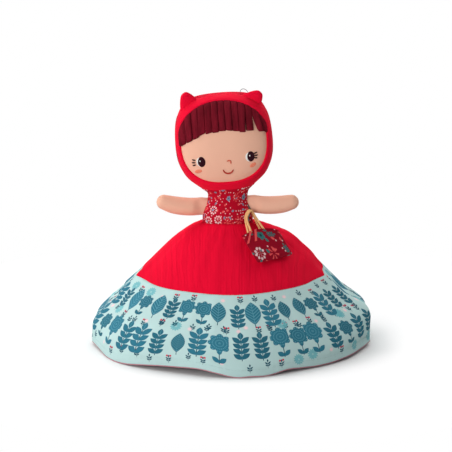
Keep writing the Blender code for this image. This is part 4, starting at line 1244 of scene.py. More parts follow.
def make_bodice(doll, name, material):
    """A tube from the waist seam up round the neck, with fine gathers at both ends."""
    top = BODICE_HEIGHT - NECK_SLACK
    angle = np.linspace(-math.pi, math.pi, 169)
    heights = [np.linspace(BODICE_LOW, top, 30), np.linspace(top, BODICE_HEIGHT, 12)[1:]]
    heights = np.concatenate(heights)
    down = -np.interp(heights, (BODICE_LOW, top, BODICE_HEIGHT), (BODICE_LOW, top, top + 0.0105))
    uv = np.stack(np.meshgrid(down, angle * 0.0235, indexing="ij")[::-1], -1)
    angle = angle[:-1]
    rows = []
    for height in heights:
        width, depth = body_half_axes(min(max(height, 0.0), top), top)
        gather = math.exp(-max(height, 0.0) / 0.005)
        gather += math.exp(-max(BODICE_HEIGHT - height, 0.0) / 0.006)
        tuck = BODICE_GATHER * ring_ripple(angle, 31, 4.0) * gather
        radius = oval_radius(angle, width, depth) + tuck
        ring = around(angle) * radius[:, None]
        ring[:, 2] = height
        ring = placed(ring, doll.frame)
        if height > top:
            share = (height - top) / (BODICE_HEIGHT - top)
            up = -COLLAR_DROP + (COLLAR_RISE + COLLAR_DROP) * share
            around_neck = around(angle) * (oval_radius(angle, *doll.section(up)) + COLLAR_GAP)[:, None]
            around_neck[:, 2] = up
            ring = ring + (placed(around_neck, doll.head_frame) - ring) * ease(share * 1.4)
        rows.append(ring)
    return cloth_shell(name, np.stack(rows), uv, BODICE_SHEET, material)


# %% [markdown]
# ## Arms
# An arm is a tube of jersey that swells and tapers like a small sausage, and its root is sewn flat
# into the bodice's side. Its axis is a curve in the front view, and rings stand across it.

# %% Rule of an arm
def arm_grid(side, lift=0.0, columns=40):
    """Rings of a stuffed arm from inside the bodice to its round tip, flat where it is sewn on."""
    shares = ((0.0, 0.0), (0.35, -0.15), (0.72, 0.25), (1.0, 1.0))
    places = [(out * ARM_REACH, up * ARM_TIP_RISE + lift * (1 - out)) for out, up in shares]
    axis = smooth_line(places)
    turn = full_turn(columns)
    rows = []
    for root in (-0.0070, -0.0045, -0.0022):
        sunk = 0.93 + 0.05 * (root + 0.007) / 0.007
        rows.append(((root, lift), (1.0, 0.0), ARM_ROOT_RADIUS * sunk))
    for share in np.linspace(0, 1, 26):
        before, after = along(axis, [max(share - 0.04, 0), min(share + 0.04, 1)])
        heading = (after - before) / np.linalg.norm(after - before)
        taper = ARM_ROOT_RADIUS + (ARM_TIP_RADIUS - ARM_ROOT_RADIUS) * share
        swell = (ARM_MIDDLE_RADIUS - ARM_TIP_RADIUS) * 4 * share * share * (1 - share)
        rows.append((along(axis, share), heading, taper + swell))
    last, heading = axis[-1], (axis[-1] - axis[-2]) / np.linalg.norm(axis[-1] - axis[-2])
    for polar in np.radians(np.linspace(78, 0, 10)):
        centre = last + heading * ARM_TIP_RADIUS * math.cos(polar)
        rows.append((centre, heading, ARM_TIP_RADIUS * math.sin(polar)))
    rings = []
    for centre, heading, radius in rows:
        level = np.array([-heading[1], 0.0, heading[0]])
        flat = 0.60 + 0.40 * ease(centre[0] / 0.011)
        ring = np.cos(turn)[:, None] * level + np.sin(turn)[:, None] * np.array([0.0, flat, 0.0])
        rings.append(np.array([centre[0], 0.0, centre[1]]) + ring * radius)
    points = np.stack(rings)
    points[..., 0] *= side
    return points


def make_arm(doll, side, name, lift=0.0):
    """One arm, on its shoulder. The side is 1 or -1 along the doll's own X."""
    shoulder = Matrix.Translation((SHOULDER_HALF_SPAN * side, 0.0, BODICE_HEIGHT / 2))
    matrix = doll.frame @ shoulder @ upright(-side * doll.arm_raise)
    points = arm_grid(side, lift)
    length = np.linspace(0, ARM_REACH + ARM_TIP_RADIUS, len(points))
    round_arm = np.linspace(0, math.tau * ARM_ROOT_RADIUS, points.shape[1] + 1)
    uv = np.stack(np.meshgrid(length, round_arm, indexing="ij"), -1)
    return grid_piece(name, placed(points, matrix), uv, peach_jersey)


# %% [markdown]
# ## A small all-over print
# Both bodices and the basket have small strewn blossoms. The cloth is split into square cells, and
# chance gives each cell its motif, turns it and shifts it.

# %% Strewn print
MOTIF_EDGE = 0.0003


def strewn(made, u, v, size, seed, jitter=0.3):
    """Splits the cloth into square cells, each second row half a cell along.

    Returns the place from each cell's motif and a chance number for what the motif is.
    """
    row = (v / size + 50.0).math("FLOOR")
    turn = u / size + row * 0.5 + 50.0
    cell = turn.math("FLOOR")
    first, second, third = made.chance(made.spot(cell, row, seed))
    x = (turn - cell - 0.5 - (first - 0.5) * jitter) * size
    y = (v / size + 50.0 - row - 0.5 - (second - 0.5) * jitter) * size
    x, y = spun(x, y, third * math.tau)
    return x, y, made.chance(made.spot(cell, row, seed + 4.0))[0]


def ditsy_print(name, ground, blossom, cool, warm, shift=0.0, scale=1.0, dotted=0.36):
    """A small all-over print of blossoms, sprigs, petals and dots."""
    made = Shades(name, 0.9, 0.05, ground, 0.5)
    u, v = made.uv()
    u, v = u / scale + shift, v / scale
    place = made.spot(u, v)
    ink = made.mix(made.noise(place, 60.0, 3.0), tinted(ground, 0.82), tinted(ground, 1.15))
    x, y, kind = strewn(made, u, v, 0.0031, 2.0, 0.5)
    dots = disc_distance(x, y, 0.00062).inside(MOTIF_EDGE) * kind.math("LESS_THAN", dotted)
    ink = made.mix(dots * 0.9, ink, blossom)
    x, y, kind = strewn(made, u, v, 0.0066, 9.0, 0.35)
    petal = leaf_distance(x, y + 0.0019, 0.0038, 0.0011).inside(MOTIF_EDGE)
    ink = made.mix(petal * kind.math("LESS_THAN", 0.38), ink, warm)
    ink = made.mix(petal * kind.math("GREATER_THAN", 0.74), ink, cool)
    x, y, kind = strewn(made, u, v, 0.0122, 5.0, 0.25)
    is_wreath = kind.math("LESS_THAN", 0.15)
    is_bloom = kind.math("GREATER_THAN", 0.22) * kind.math("LESS_THAN", 0.45)
    is_star = kind.math("GREATER_THAN", 0.52) * kind.math("LESS_THAN", 0.74)
    is_sprig = kind.math("GREATER_THAN", 0.86)
    edge, far, spin = flower_distance(x, y, 0.0034, 5, 0.26)
    ink = made.mix(edge.inside(MOTIF_EDGE) * is_bloom, ink, cool)
    heart = disc_distance(x, y, 0.0010).inside(MOTIF_EDGE) * is_bloom
    ink = made.mix(heart, ink, tinted(cool, 0.3))
    ring = (far - 0.0036).math("ABSOLUTE") - ((spin * 9.0).math("SINE") * 0.5 + 0.5) * 0.0011
    ink = made.mix(ring.inside(MOTIF_EDGE) * is_wreath * 0.9, ink, blossom)
    spokes = (far - 0.0022).inside(MOTIF_EDGE) * (spin * 5.0).math("COSINE").math("GREATER_THAN", 0.90)
    ink = made.mix(spokes * is_wreath * 0.7, ink, blossom)
    rays = (far - 0.0047).inside(MOTIF_EDGE) * (0.0012 - far).inside(MOTIF_EDGE)
    rays = rays * (spin * 7.0).math("COSINE").math("GREATER_THAN", 0.35)
    ink = made.mix(rays * is_star, ink, warm)
    leaves, stem = sprig_distance(x, y + 0.0034, 0.0072, 3, 0.0027, 0.0007)
    ink = made.mix(leaves.least(stem).inside(MOTIF_EDGE) * is_sprig, ink, LEAF_GREEN)
    made.colour(ink)
    weave = threads(u, FINE_THREAD) * threads(v, FINE_THREAD)
    made.bump(weave * 0.2 + made.noise(place, 150.0, 3.0), 0.0004, 0.7)
    return made.material


bodice_print = ditsy_print("dark_red_bodice_print", DEEP_RED, BLUSH, GREY_BLUE, CORAL)
lower_bodice_print = ditsy_print(
    "dusty_pink_bodice_print", DRESS_PINK, IVORY, LEAF_GREEN, DEEP_RED, 0.4
)
print("small print:", len(bodice_print.node_tree.nodes), "nodes")

# %% Bodices and arms of both dolls
bodice = make_bodice(UPPER, "bodice", bodice_print)
lower_bodice = make_bodice(LOWER, "lower_doll_bodice", lower_bodice_print)
# The photographed doll's right arm is sewn on a little higher than its left
ARM_LIFTS = {("upper", "right"): 0.0026}
arms = {}
for doll, sides in ((UPPER, {"left": -1, "right": 1}), (LOWER, {"left": 1, "right": -1})):
    for side_name, side in sides.items():
        lift = ARM_LIFTS.get((doll.name, side_name), 0.0)
        arm = make_arm(doll, side, f"{doll.name}_doll_arm_{side_name}", lift)
        arms[doll, side_name] = (arm, side)
print("arms:", len(arms))

# %% [markdown]
# ## Hair
# The fringe is one strip of velour, cut into strands up to a header that the hood's edge covers.
# Each strand is a thick little band with rounded edges, and no two hang quite alike.

# %% Fringes
FRINGE_EDGE_SHARES = (
    (-1.0, -0.09), (-0.72, 0.07), (-0.35, 0.24), (0.0, 0.28), (0.35, 0.23), (0.72, 0.18),
    (1.0, 0.13),
)
FRINGE_LIFT, FRINGE_THICKNESS = 0.0003, 0.0013
FRINGE_SPAN_SHARE, FRINGE_TOP_SHARE = 1.02, 1.03
FRINGE_OVERLAP, FRINGE_BOW, FRINGE_TILT = 0.00012, 0.00035, 0.00095
# How far the lower ends of some strands' left and right edges have drifted, in metres
UPPER_DRIFT = {
    0: (0.0, -0.0006), 1: (0.0004, 0.0), 5: (0.0, -0.0002), 9: (0.0, -0.0007),
    10: (0.0003, 0.0008), 11: (0.0056, 0.0040), 12: (0.0016, 0.0),
}
LOWER_DRIFT = {3: (0.0, -0.0010), 4: (0.0006, 0.0), 8: (0.0009, 0.0)}


def make_fringe(doll, name, strands, material, seed, drifted):
    """All strands of one fringe as one mesh. Every second one lies a little over its neighbours."""
    rng = np.random.default_rng(seed)
    edge = smooth_line(FRINGE_EDGE_SHARES)
    span = doll.face_width * FRINGE_SPAN_SHARE
    strand = 2 * span / strands
    parts = []
    for number in range(strands):
        left = -span + strand * number
        longer, lean = rng.normal(0.0, 0.0005), rng.normal(0.0, 0.00025)
        drift_left, drift_right = drifted.get(number, (0.0, 0.0))
        down, across = np.meshgrid(np.linspace(0, 1, 26), np.linspace(0, 1, 14), indexing="ij")
        open_share = np.clip((down - 0.30) / 0.70, 0, 1) ** 1.2
        x_left = left - FRINGE_OVERLAP + (drift_left + lean) * open_share
        x_right = left + strand + FRINGE_OVERLAP + (drift_right + lean) * open_share
        x = x_left + (x_right - x_left) * across
        out = np.clip(x / doll.face_width, -0.999, 0.999)
        top = (1 - np.abs(x / doll.opening_side) ** FACE_POWER) ** (1 / FACE_POWER)
        top = doll.opening_up * top * FRINGE_TOP_SHARE + 0.0006
        bottom = doll.face_height * np.interp(out, edge[:, 0], edge[:, 1]) + longer
        corner = 0.0007 * (np.abs(2 * across - 1) ** 6) * ease((down - 0.85) / 0.15)
        height = doll.centre[1] + top + (np.minimum(bottom, top - strand) + corner - top) * down
        body = (1 - np.abs(2 * across - 1) ** 6) ** 0.5
        tip = (1 - np.clip((down - 0.95) / 0.05, 0, 1) ** 2) ** 0.5
        pressed = 0.35 + 0.65 * ease(down / 0.16)
        bow = FRINGE_BOW * np.cos((2 * across - 1) * math.pi / 2) * (0.4 + 0.6 * rng.random())
        tilt = FRINGE_TILT * (2 * across - 1) * rng.uniform(-1, 1) * ease(down / 0.4)
        over = (0.00045 * (number % 2) + 0.0003 * rng.random()) * ease(down / 0.25)
        rise = FRINGE_LIFT + (FRINGE_THICKNESS * body * tip + bow + over) * pressed + tilt * body
        front = doll.on_face(x, height, rise)
        back = doll.on_face(x, height, np.full_like(x, 0.0001) + over * 0.5)
        flat = np.stack([x, height], -1)
        strand_uv = np.concatenate([flat, flat[:, ::-1]], 1)
        grid = np.concatenate([front, back[:, ::-1]], 1)
        strand_uv = np.concatenate([strand_uv, strand_uv[:, :1]], 1)
        parts.append(grid_piece(f"strand_{number}", placed(grid, doll.head_frame), strand_uv))
    return joined(name, parts, material)


def joined(name, parts, material=None):
    """Several meshes as one piece."""
    work = bmesh.new()
    for part in parts:
        work.from_mesh(part.data)
        bpy.data.objects.remove(part)
    mesh = bpy.data.meshes.new(name)
    work.to_mesh(mesh)
    work.free()
    if material:
        mesh.materials.append(material)
    mesh.shade_smooth()
    return in_scene(name, mesh)


fringe = make_fringe(UPPER, "hair_fringe", 13, hair_velour, 4, UPPER_DRIFT)
lower_fringe = make_fringe(LOWER, "lower_doll_hair_fringe", 11, lower_hair_velour, 7, LOWER_DRIFT)
print("fringe:", len(fringe.data.polygons), "faces")

# %% [markdown]
# ## Faces
# The features are embroidered: raised satin stitch for the eyes, thin stem stitch for lashes, nose
# and mouth, and slanted straight stitches for the cheeks. Each is a real little relief of thread on
# the face, laid on the head's surface.

# %% Embroidery threads
def thread_colour(name, colour):
    """Embroidery thread: fine parallel ridges with a soft gloss."""
    made = Shades(name, 0.6, 0.04, colour, 0.4)
    u, v = made.uv()
    ridge = threads(u, 0.00045)
    uneven = made.noise(made.spot(u, v), 700.0, 2.0)
    made.colour(made.mix(uneven, tinted(colour, 0.8), tinted(colour, 1.15)))
    made.bump(ridge + uneven * 0.5, 0.00008)
    return made.material


eye_thread = thread_colour("eye_dark_brown_thread", EYE_BROWN)
white_thread = thread_colour("eye_white_thread", screen(244, 238, 232))
mouth_thread = thread_colour("mouth_coral_thread", screen(192, 66, 56))
nose_thread = thread_colour("nose_orange_thread", screen(222, 108, 84))
cheek_thread = thread_colour("cheek_orange_thread", screen(246, 138, 110))
print("thread material:", len(eye_thread.node_tree.nodes), "nodes")

# %% [markdown]
# A satin patch is an oval cushion of stitches, and a stitch line is a thin raised thread.

# %% Two kinds of stitching
def satin_patch(name, doll, place, size, rise, material, rings=10, slant=0.0):
    """An oval of satin stitch, plump in its middle. With a slant, its top leans over."""
    share, turn = np.meshgrid(np.linspace(0, 1, rings + 1), full_turn(40), indexing="ij")
    x = place[0] + np.sin(turn) * share * size[0] / 2
    height = place[1] + np.cos(turn) * share * size[1] / 2
    x = x + (height - place[1]) * slant
    plump = rise * (1 - share**2.5) ** 0.5
    front = doll.on_face(x, height, plump - 0.0001)
    back = doll.on_face(x, height, np.full_like(x, -0.0008))[::-1]
    grid = np.concatenate([front, back])
    flat = np.stack([x, height], -1)
    flat = np.concatenate([flat, flat[::-1]])
    uv = np.concatenate([flat, flat[:, :1]], 1)
    return grid_piece(name, placed(grid, doll.head_frame), uv, material)


def stitch_line(name, doll, line, width, material, rise, columns=10):
    """A raised line of thread along a line of places on the face, thin at both ends."""
    line = smooth_line(line, 8) if len(line) > 2 else np.linspace(*line, 9)
    centre = doll.on_face(line[:, 0], line[:, 1], rise)
    normal = doll.face_normal(line[:, 0], line[:, 1])
    ahead = np.gradient(centre, axis=0)
    ahead /= np.linalg.norm(ahead, axis=1, keepdims=True)
    side = np.cross(ahead, normal)
    share = np.linspace(0, 1, len(line))
    thin = np.sin(np.clip(share, 0.02, 0.98) * math.pi) ** 0.35
    turn = full_turn(columns)
    flat, high = np.cos(turn)[:, None] * 0.5, np.sin(turn)[:, None] * 0.38
    ring = side[:, None] * flat + normal[:, None] * high
    points = centre[:, None] + ring * (width * thin)[:, None, None]
    return grid_piece(name, placed(points, doll.head_frame), cloth_uv(points), material)


def mm(*pairs):
    """Places given in millimetres, in metres."""
    return np.array(pairs, float) / 1000



# %% [markdown]
# The places and sizes of the features are read off the photograph in millimetres. The second doll
# has the same ones, a little smaller.

# %% Features
EYE_WIDTH, EYE_HEIGHT = 8.8, 11.6
MOUTH_HALF_WIDTH, MOUTH_DROP = 5.25, 4.8
CHEEK_SLANT = 0.55
NOSE_LINE = ((-2.1, 0.5), (-0.4, 1.4), (1.4, 0.9), (1.9, -0.7), (1.8, -2.5))
# The mouth's curve, as shares of its half width and its drop
MOUTH_LINE = ((-1.0, 1.0), (-0.86, 0.55), (-0.5, 0.13), (0.0, 0.0), (0.5, 0.13), (0.86, 0.5), (1.0, 0.85))
# Lashes of each eye, in millimetres from its middle: inner end and outer end
LASHES = {
    -1: (((6.0, 1.7), (9.4, 2.7)), ((6.2, -0.7), (9.9, -0.7)), ((6.0, -3.1), (9.2, -4.2))),
    1: (((3.4, 2.7), (7.2, 3.8)), ((3.9, 0.4), (7.7, 0.6)), ((3.4, -1.9), (7.0, -2.6))),
}


def make_eye(doll, side, place, scale=1.0):
    """A tall oval eye with a white sliver at its left, a glint and three lashes at its outer side."""
    x, z = place
    wide, tall = EYE_WIDTH * scale, EYE_HEIGHT * scale

    def oval(name, across, up, width, height, rise, thread, rings=10):
        middle, size = mm((x + across * scale, z + up * scale))[0], mm((width, height))[0]
        return satin_patch(name, doll, middle, size, rise, thread, rings)

    parts = [
        oval("white", -0.85, -0.2, wide, tall * 0.92, 0.0007, white_thread),
        oval("iris", 0.25, 0.0, wide * 0.94, tall, 0.0012, eye_thread),
        oval("glint", -0.9, 1.5, 1.7 * scale, 2.3 * scale, 0.0017, white_thread, 5),
    ]
    for n, ((inner, low), (outer, high)) in enumerate(LASHES[side]):
        line = mm(
            (x + side * inner * scale, z + low * scale), (x + side * outer * scale, z + high * scale)
        )
        parts.append(stitch_line(f"lash_{n}", doll, line, 0.0016, eye_thread, 0.0004))
    return parts


def with_materials(name, parts):
    """Several pieces with their own threads as one piece."""
    bpy.ops.object.select_all(action="DESELECT")
    for part in parts:
        part.select_set(True)
    bpy.context.view_layer.objects.active = parts[0]
    bpy.ops.object.join()
    parts[0].name = parts[0].data.name = name
    parts[0].select_set(False)
    return parts[0]


def make_features(doll, name, eyes, nose, mouth, cheeks, scale=1.0):
    """All the embroidery of one face as one piece. Places are in millimetres."""
    parts = []
    for side, place in zip((-1, 1), eyes, strict=True):
        parts += make_eye(doll, side, place, scale)
    x, z = nose
    hook = mm(*((x + across * scale, z + up * scale) for across, up in NOSE_LINE))
    parts.append(stitch_line("nose", doll, hook, 0.0016, nose_thread, 0.0003))
    x, z = mouth
    half, drop = MOUTH_HALF_WIDTH * scale, MOUTH_DROP * scale
    smile = mm(*((x + half * across, z + drop * up) for across, up in MOUTH_LINE))
    parts.append(stitch_line("mouth", doll, smile, 0.0019, mouth_thread, 0.0003))
    for n, (middle, size) in enumerate(cheeks):
        place, size, name_here = mm(middle)[0], mm(size)[0], f"cheek_{n}"
        patch = satin_patch(name_here, doll, place, size, 0.0004, cheek_thread, 6, slant=CHEEK_SLANT)
        parts.append(patch)
    return with_materials(name, parts)


features = make_features(
    UPPER, "face_features", eyes=((-25.0, 36.0), (27.0, 37.9)), nose=(4.1, 34.8),
    mouth=(2.6, 21.4), cheeks=(((-28.9, 25.1), (7.2, 4.4)), ((29.0, 27.8), (6.0, 5.2))),
)
lower_features = make_features(
    LOWER, "lower_doll_face_features", eyes=((-19.0, 33.0), (19.0, 33.0)), nose=(0.0, 30.0),
    mouth=(0.0, 19.0), cheeks=(((-23.5, 24.0), (5.6, 3.8)), ((23.5, 24.0), (5.6, 3.8))),
    scale=0.82,
)
print("features:", len(features.data.polygons), "faces")

# %% [markdown]
# ## Cords, threads and stitches
# A cord is plies twisted round each other. The tree copies a path once for each ply, moves each
# copy round the path in a screw line and sweeps a circle along it.

# %% Tree for a twisted cord
def cord_tree():
    """Follows a path with twisted plies. The lay is the length of one whole twist."""
    sizes = {"Plies": 3, "Ply Radius": 0.0007, "Twist Radius": 0.0006, "Lay": 0.008}
    made = Growth("twisted_cord", {**sizes, "Steps": 160, "Sides": 8})
    curve = made.node("GeometryNodeMeshToCurve", [(0, made.size("Geometry"))])
    links = [("Curve", curve.outputs[0]), ("Count", made.size("Steps"))]
    path = made.node("GeometryNodeResampleCurve", links)
    links = [("Geometry", path.outputs[0]), ("Amount", made.size("Plies"))]
    copies = made.node("GeometryNodeDuplicateElements", links, domain="SPLINE")
    length = Field(made.tree, made.node("GeometryNodeSplineParameter").outputs["Length"])
    number = Field(made.tree, copies.outputs["Duplicate Index"])
    turn = (length / made.size("Lay") + number / made.size("Plies")) * math.tau
    normal = made.node("GeometryNodeInputNormal").outputs[0]
    links = [(0, made.node("GeometryNodeInputTangent").outputs[0]), (1, normal)]
    side = made.node("ShaderNodeVectorMath", links, operation="CROSS_PRODUCT").outputs[0]
    reach = made.size("Twist Radius")
    out = made.scaled(normal, turn.math("COSINE") * reach)
    aside = made.scaled(side, turn.math("SINE") * reach)
    screw = made.node("ShaderNodeVectorMath", [(0, out), (1, aside)]).outputs[0]
    links = [("Geometry", copies.outputs["Geometry"]), ("Offset", screw)]
    ply = made.node("GeometryNodeSetPosition", links)
    links = [("Radius", made.size("Ply Radius")), ("Resolution", made.size("Sides"))]
    circle = made.node("GeometryNodeCurvePrimitiveCircle", links)
    links = [("Curve", ply.outputs[0]), ("Profile Curve", circle.outputs[0])]
    return made.close(made.node("GeometryNodeCurveToMesh", links, **{"Fill Caps": True}).outputs[0])


CORD_TREE = cord_tree()
print("cord tree:", len(CORD_TREE.nodes), "nodes")

# %% [markdown]
# Stitches follow a path too: the tree sets short, slightly uneven lengths of thread along it.

# %% Tree for a row of stitches
def stitch_tree():
    """Sets stitches along a path, their lengths varied by a seed."""
    sizes = {"Spacing": 0.004, "Stitch": 0.0026, "Thread": 0.0005, "Seed": 1}
    made = Growth("running_stitch", sizes)
    curve = made.node("GeometryNodeMeshToCurve", [(0, made.size("Geometry"))])
    links = [("Curve", curve.outputs[0]), ("Length", made.size("Spacing"))]
    points = made.node("GeometryNodeCurveToPoints", links, mode="LENGTH")
    bead = made.node("GeometryNodeMeshUVSphere", Segments=8, Rings=6, Radius=0.5)
    chance = made.node("FunctionNodeRandomValue", [(2, 0.86), (3, 1.12), ("Seed", made.size("Seed"))])
    long = made.size("Stitch") * Field(made.tree, chance.outputs[1])
    thread = made.size("Thread")
    size = made.node("ShaderNodeCombineXYZ", [(0, thread), (1, thread), (2, long)])
    links = [(name, points.outputs[name]) for name in ("Points", "Rotation")]
    links += [("Instance", bead.outputs["Mesh"]), ("Scale", size.outputs[0])]
    return made.close(made.node("GeometryNodeInstanceOnPoints", links).outputs[0])


STITCH_TREE = stitch_tree()
print("stitch tree:", len(STITCH_TREE.nodes), "nodes")

# %% [markdown]
# The hood has a thin loop of grey thread beside its right ear, for hanging the doll up.

# %% Spun fibre, and the loop on the hood
def path_piece(lines, cyclic=False):
    """Poly lines as a mesh of edges, for a tree to follow."""
    points, edges = [], []
    for line in lines:
        first = len(points)
        points += [tuple(p) for p in line]
        edges += [(first + n, first + n + 1) for n in range(len(line) - 1)]
        if cyclic:
            edges.append((first + len(line) - 1, first))
    mesh = bpy.data.meshes.new("path")
    mesh.from_pydata(points, edges, [])
    return in_scene("path", mesh)


def cord_material(name, colour, vary=0.18):
    """Soft spun fibre, a little fuzzy and uneven."""
    made = Shades(name, 0.9, 0.35, colour, 0.5)
    place = made.node("ShaderNodeTexCoord").outputs["Object"]
    grain = made.noise(place, 1400.0, 3.0)
    broad = made.noise(place, 160.0, 2.0)
    mixed = grain * 0.6 + broad * 0.4
    made.colour(made.mix(mixed, tinted(colour, 1 - vary), tinted(colour, 1 + vary)))
    made.bump(grain, 0.0002)
    return made.material


beige_cord = cord_material("beige_handle_cord", CORD_BEIGE, 0.28)
grey_thread = cord_material("grey_hang_thread", THREAD_GREY)
mint_thread = cord_material("mint_sewing_thread", tinted(MINT, 0.9))

LOOP_MIDDLE, LOOP_SPAN, LOOP_HEIGHT, LOOP_THREAD = 0.49, 0.0080, 0.0040, 0.0007
LOOP_SINK = 0.0015
turn = np.linspace(0, math.pi, 25)
x = UPPER.half_width * LOOP_MIDDLE - np.cos(turn) * LOOP_SPAN / 2
crown = UPPER.head_side[np.argmax(UPPER.head_side[:, 0]) :][::-1]
ground = np.interp(x, crown[:, 0], crown[:, 1])
loop = np.stack([x, np.zeros_like(x), ground + LOOP_THREAD + np.sin(turn) * LOOP_HEIGHT], -1)
loop[[0, -1], 2] -= LOOP_SINK
hang_loop = grown(
    "hood_hang_thread", path_piece([placed(loop, UPPER.head_frame)]), CORD_TREE,
    **{"Plies": 2, "Ply Radius": 0.00020, "Twist Radius": 0.00017, "Lay": 0.0016},
    **{"Steps": 90, "Sides": 6}, Material=grey_thread,
)
print("loop:", len(hang_loop.data.polygons), "faces")

# %% [markdown]
# Two rows of stitches run round the skirt: the hem's topstitching, which holds the lining, and the
# small stitches that draw the gauze and the border together.

# %% Stitches round the skirt
SEAM_STITCH_DROP = 0.0004
hem_angle = np.linspace(-math.pi, math.pi, 721)[:-1]
hem_line = skirt_surface(np.full_like(hem_angle, hem_share), hem_angle)
hem_stitches = grown(
    "hem_stitches", path_piece([hem_line], cyclic=True), STITCH_TREE, Spacing=0.0036,
    Stitch=0.0026, Thread=0.00045, Seed=2, Material=mint_thread,
)
seam_line = skirt_surface(np.full_like(hem_angle, BORDER_START_SHARE), hem_angle)
seam_line -= (0.0, 0.0, SEAM_STITCH_DROP)
seam_stitches = grown(
    "seam_stitches", path_piece([seam_line], cyclic=True), STITCH_TREE, Spacing=0.0022,
    Stitch=0.0012, Thread=0.00040, Seed=6, Material=mint_thread,
)
print("stitches:", len(hem_stitches.data.polygons) + len(seam_stitches.data.polygons), "faces")

# %% [markdown]
# ## The basket
# The basket hangs from stitches on the bodice's side and lies on the skirt. So its place isn't
# chosen: the slope of the skirt there gives its downhill way, its level way and its way off it.

# %% Where the basket lies
BASKET_TOP_WIDTH, BASKET_BOTTOM_WIDTH = 0.0512, 0.0515
BASKET_HEIGHT, BASKET_BULGE = 0.0350, 0.0020
BASKET_AZIMUTH, BASKET_TURN, BASKET_RADIUS = math.radians(45.0), math.radians(-7.5), 0.0560
BASKET_REST_GAP, SEAM_GAP = 0.0004, 0.0003
HANDLE_CORD, HANDLE_ASIDE, HANDLE_LOOP = 0.0025, 0.0012, 0.0047
HANDLE_FEET = (-0.50, 0.19)
KNOT_RADIUS, KNOT_AZIMUTH, KNOT_RISE, KNOT_GAP = 0.0020, math.radians(58.0), 0.0112, 0.0004
HANDLE_SIDE_SHARES = (1.25, 0.50)
UP = np.array([0.0, 0.0, 1.0])


def unit(vector):
    """The same way, one long."""
    return vector / np.linalg.norm(vector)


def at_azimuth(angle):
    """The level way out from the doll's axis at one angle."""
    return around(np.array(angle))


width, depth = body_half_axes(KNOT_RISE, BODICE_HEIGHT - NECK_SLACK)
stitched = at_azimuth(KNOT_AZIMUTH) * oval_radius(KNOT_AZIMUTH, width, depth)
away = unit(np.array([stitched[0] / width**2, stitched[1] / depth**2, 0.0]))
knot_place = stitched + away * (KNOT_GAP + KNOT_RADIUS)
knot_place = knot_place + (-SKIRT_LEAN, 0.0, WAIST_HEIGHT + KNOT_RISE)
shares = np.arange(0.0, 1.0, 0.002)
spine = skirt_surface(shares, np.full_like(shares, BASKET_AZIMUTH))
reach = np.hypot(spine[:, 0] + SKIRT_LEAN, spine[:, 1])
row = int(np.argmax(reach >= BASKET_RADIUS))
downhill = unit(spine[row + 1] - spine[row])
lie = unit(np.cross(downhill, at_azimuth(BASKET_AZIMUTH + math.pi / 2)))
lie = -lie if lie[2] < 0 else lie
level = np.cross(downhill, lie)
level = -level if level[0] < 0 else level
turn = np.array(Matrix.Rotation(BASKET_TURN, 3, Vector(lie)))
level, downhill = turn @ level, turn @ downhill
pouch_middle = spine[row] + lie * (BASKET_REST_GAP + CLOTH + BASKET_BULGE + SEAM_GAP / 2)
pouch_top = pouch_middle - downhill * BASKET_HEIGHT / 2
print("basket mouth at", [round(float(v) * 1000, 1) for v in pouch_top], "mm")

# %% [markdown]
# The pouch is flat: two panels sewn at the sides and bottom, with a hemmed mouth. One rule gives
# every point of it, so the ribbon tabs and the handles' feet can be set on its cloth.

# %% Pouch
MOUTH_CROWN, CROWN_SKEW = 0.0036, 0.35
POUCH_FULLNESS = BASKET_BULGE + 0.0006
POUCH_HEM, HEM_AT, HEM_REACH = 0.00025, 0.105, 0.02


def pouch_puff(across, down):
    """How far each panel stands off the pouch's middle plane."""
    return POUCH_FULLNESS * np.maximum(1 - across**2, 0) ** 0.7 * (1 - np.clip(down, 0, 1) ** 4)


def pouch_point(across, down, rise):
    """A point of the pouch. Across is -1 to 1, down is 0 to 1, rise is off the middle plane."""
    half = (BASKET_TOP_WIDTH + (BASKET_BOTTOM_WIDTH - BASKET_TOP_WIDTH) * down) / 2
    corner = 1 - 0.04 * np.clip((down - 0.86) / 0.14, 0, 1) ** 3 * np.abs(across) ** 6
    crown = MOUTH_CROWN * (1 - across**2) * (1 + CROWN_SKEW * across)
    crown = crown * (1 - np.clip(down, 0, 1)) ** 2
    lower = BASKET_HEIGHT * down * (0.965 - 0.070 * across)
    lower = lower - crown + 0.0008 * down * (1 - across**2)
    side = half * across * corner + 0.0013
    place = pouch_top + downhill * lower[..., None] + level * side[..., None]
    return place + lie * rise[..., None]


def make_pouch(name, material):
    """Both panels as one closed bag, open at the mouth, with a turned hem there."""
    columns = 128
    turn = full_turn(columns)
    across = np.cos(turn)
    across = np.sign(across) * np.abs(across) ** 0.75
    side = np.where(np.sin(turn) >= 0, 1.0, -1.0)
    rows = []
    downs = [np.linspace(0, 0.12, 9), np.linspace(0.14, 0.97, 34), [0.985, 0.995, 1.0]]
    for down in np.concatenate(downs):
        thin = CLOTH * (1 - np.abs(across) ** 12)
        hem = POUCH_HEM * math.exp(-(((down - HEM_AT) / HEM_REACH) ** 2))
        rise = side * (pouch_puff(across, down) + thin * (1 - down**10) - hem)
        rows.append(pouch_point(across, np.full_like(across, down), rise))
    points = np.stack(rows)
    inner = []
    for down in np.linspace(0.0, 0.94, 20):
        rise = side * np.maximum(pouch_puff(across, down) - 0.0001, 0.00008)
        inner.append(pouch_point(across * 0.978, np.full_like(across, down + 0.004), rise))
    grid = np.concatenate([np.stack(inner)[::-1], points])
    flat_x = np.broadcast_to(across * BASKET_TOP_WIDTH / 2 + side * 0.3, grid.shape[:2])
    flat_y = np.concatenate([np.linspace(0.94, 0, 20), np.linspace(0, 1, len(points))])
    flat_y = np.broadcast_to(flat_y[:, None] * BASKET_HEIGHT, grid.shape[:2])
    uv = np.stack([flat_x, flat_y], -1)
    uv = np.concatenate([uv, uv[:, :1]], 1)
    return grid_piece(name, grid, uv, material)


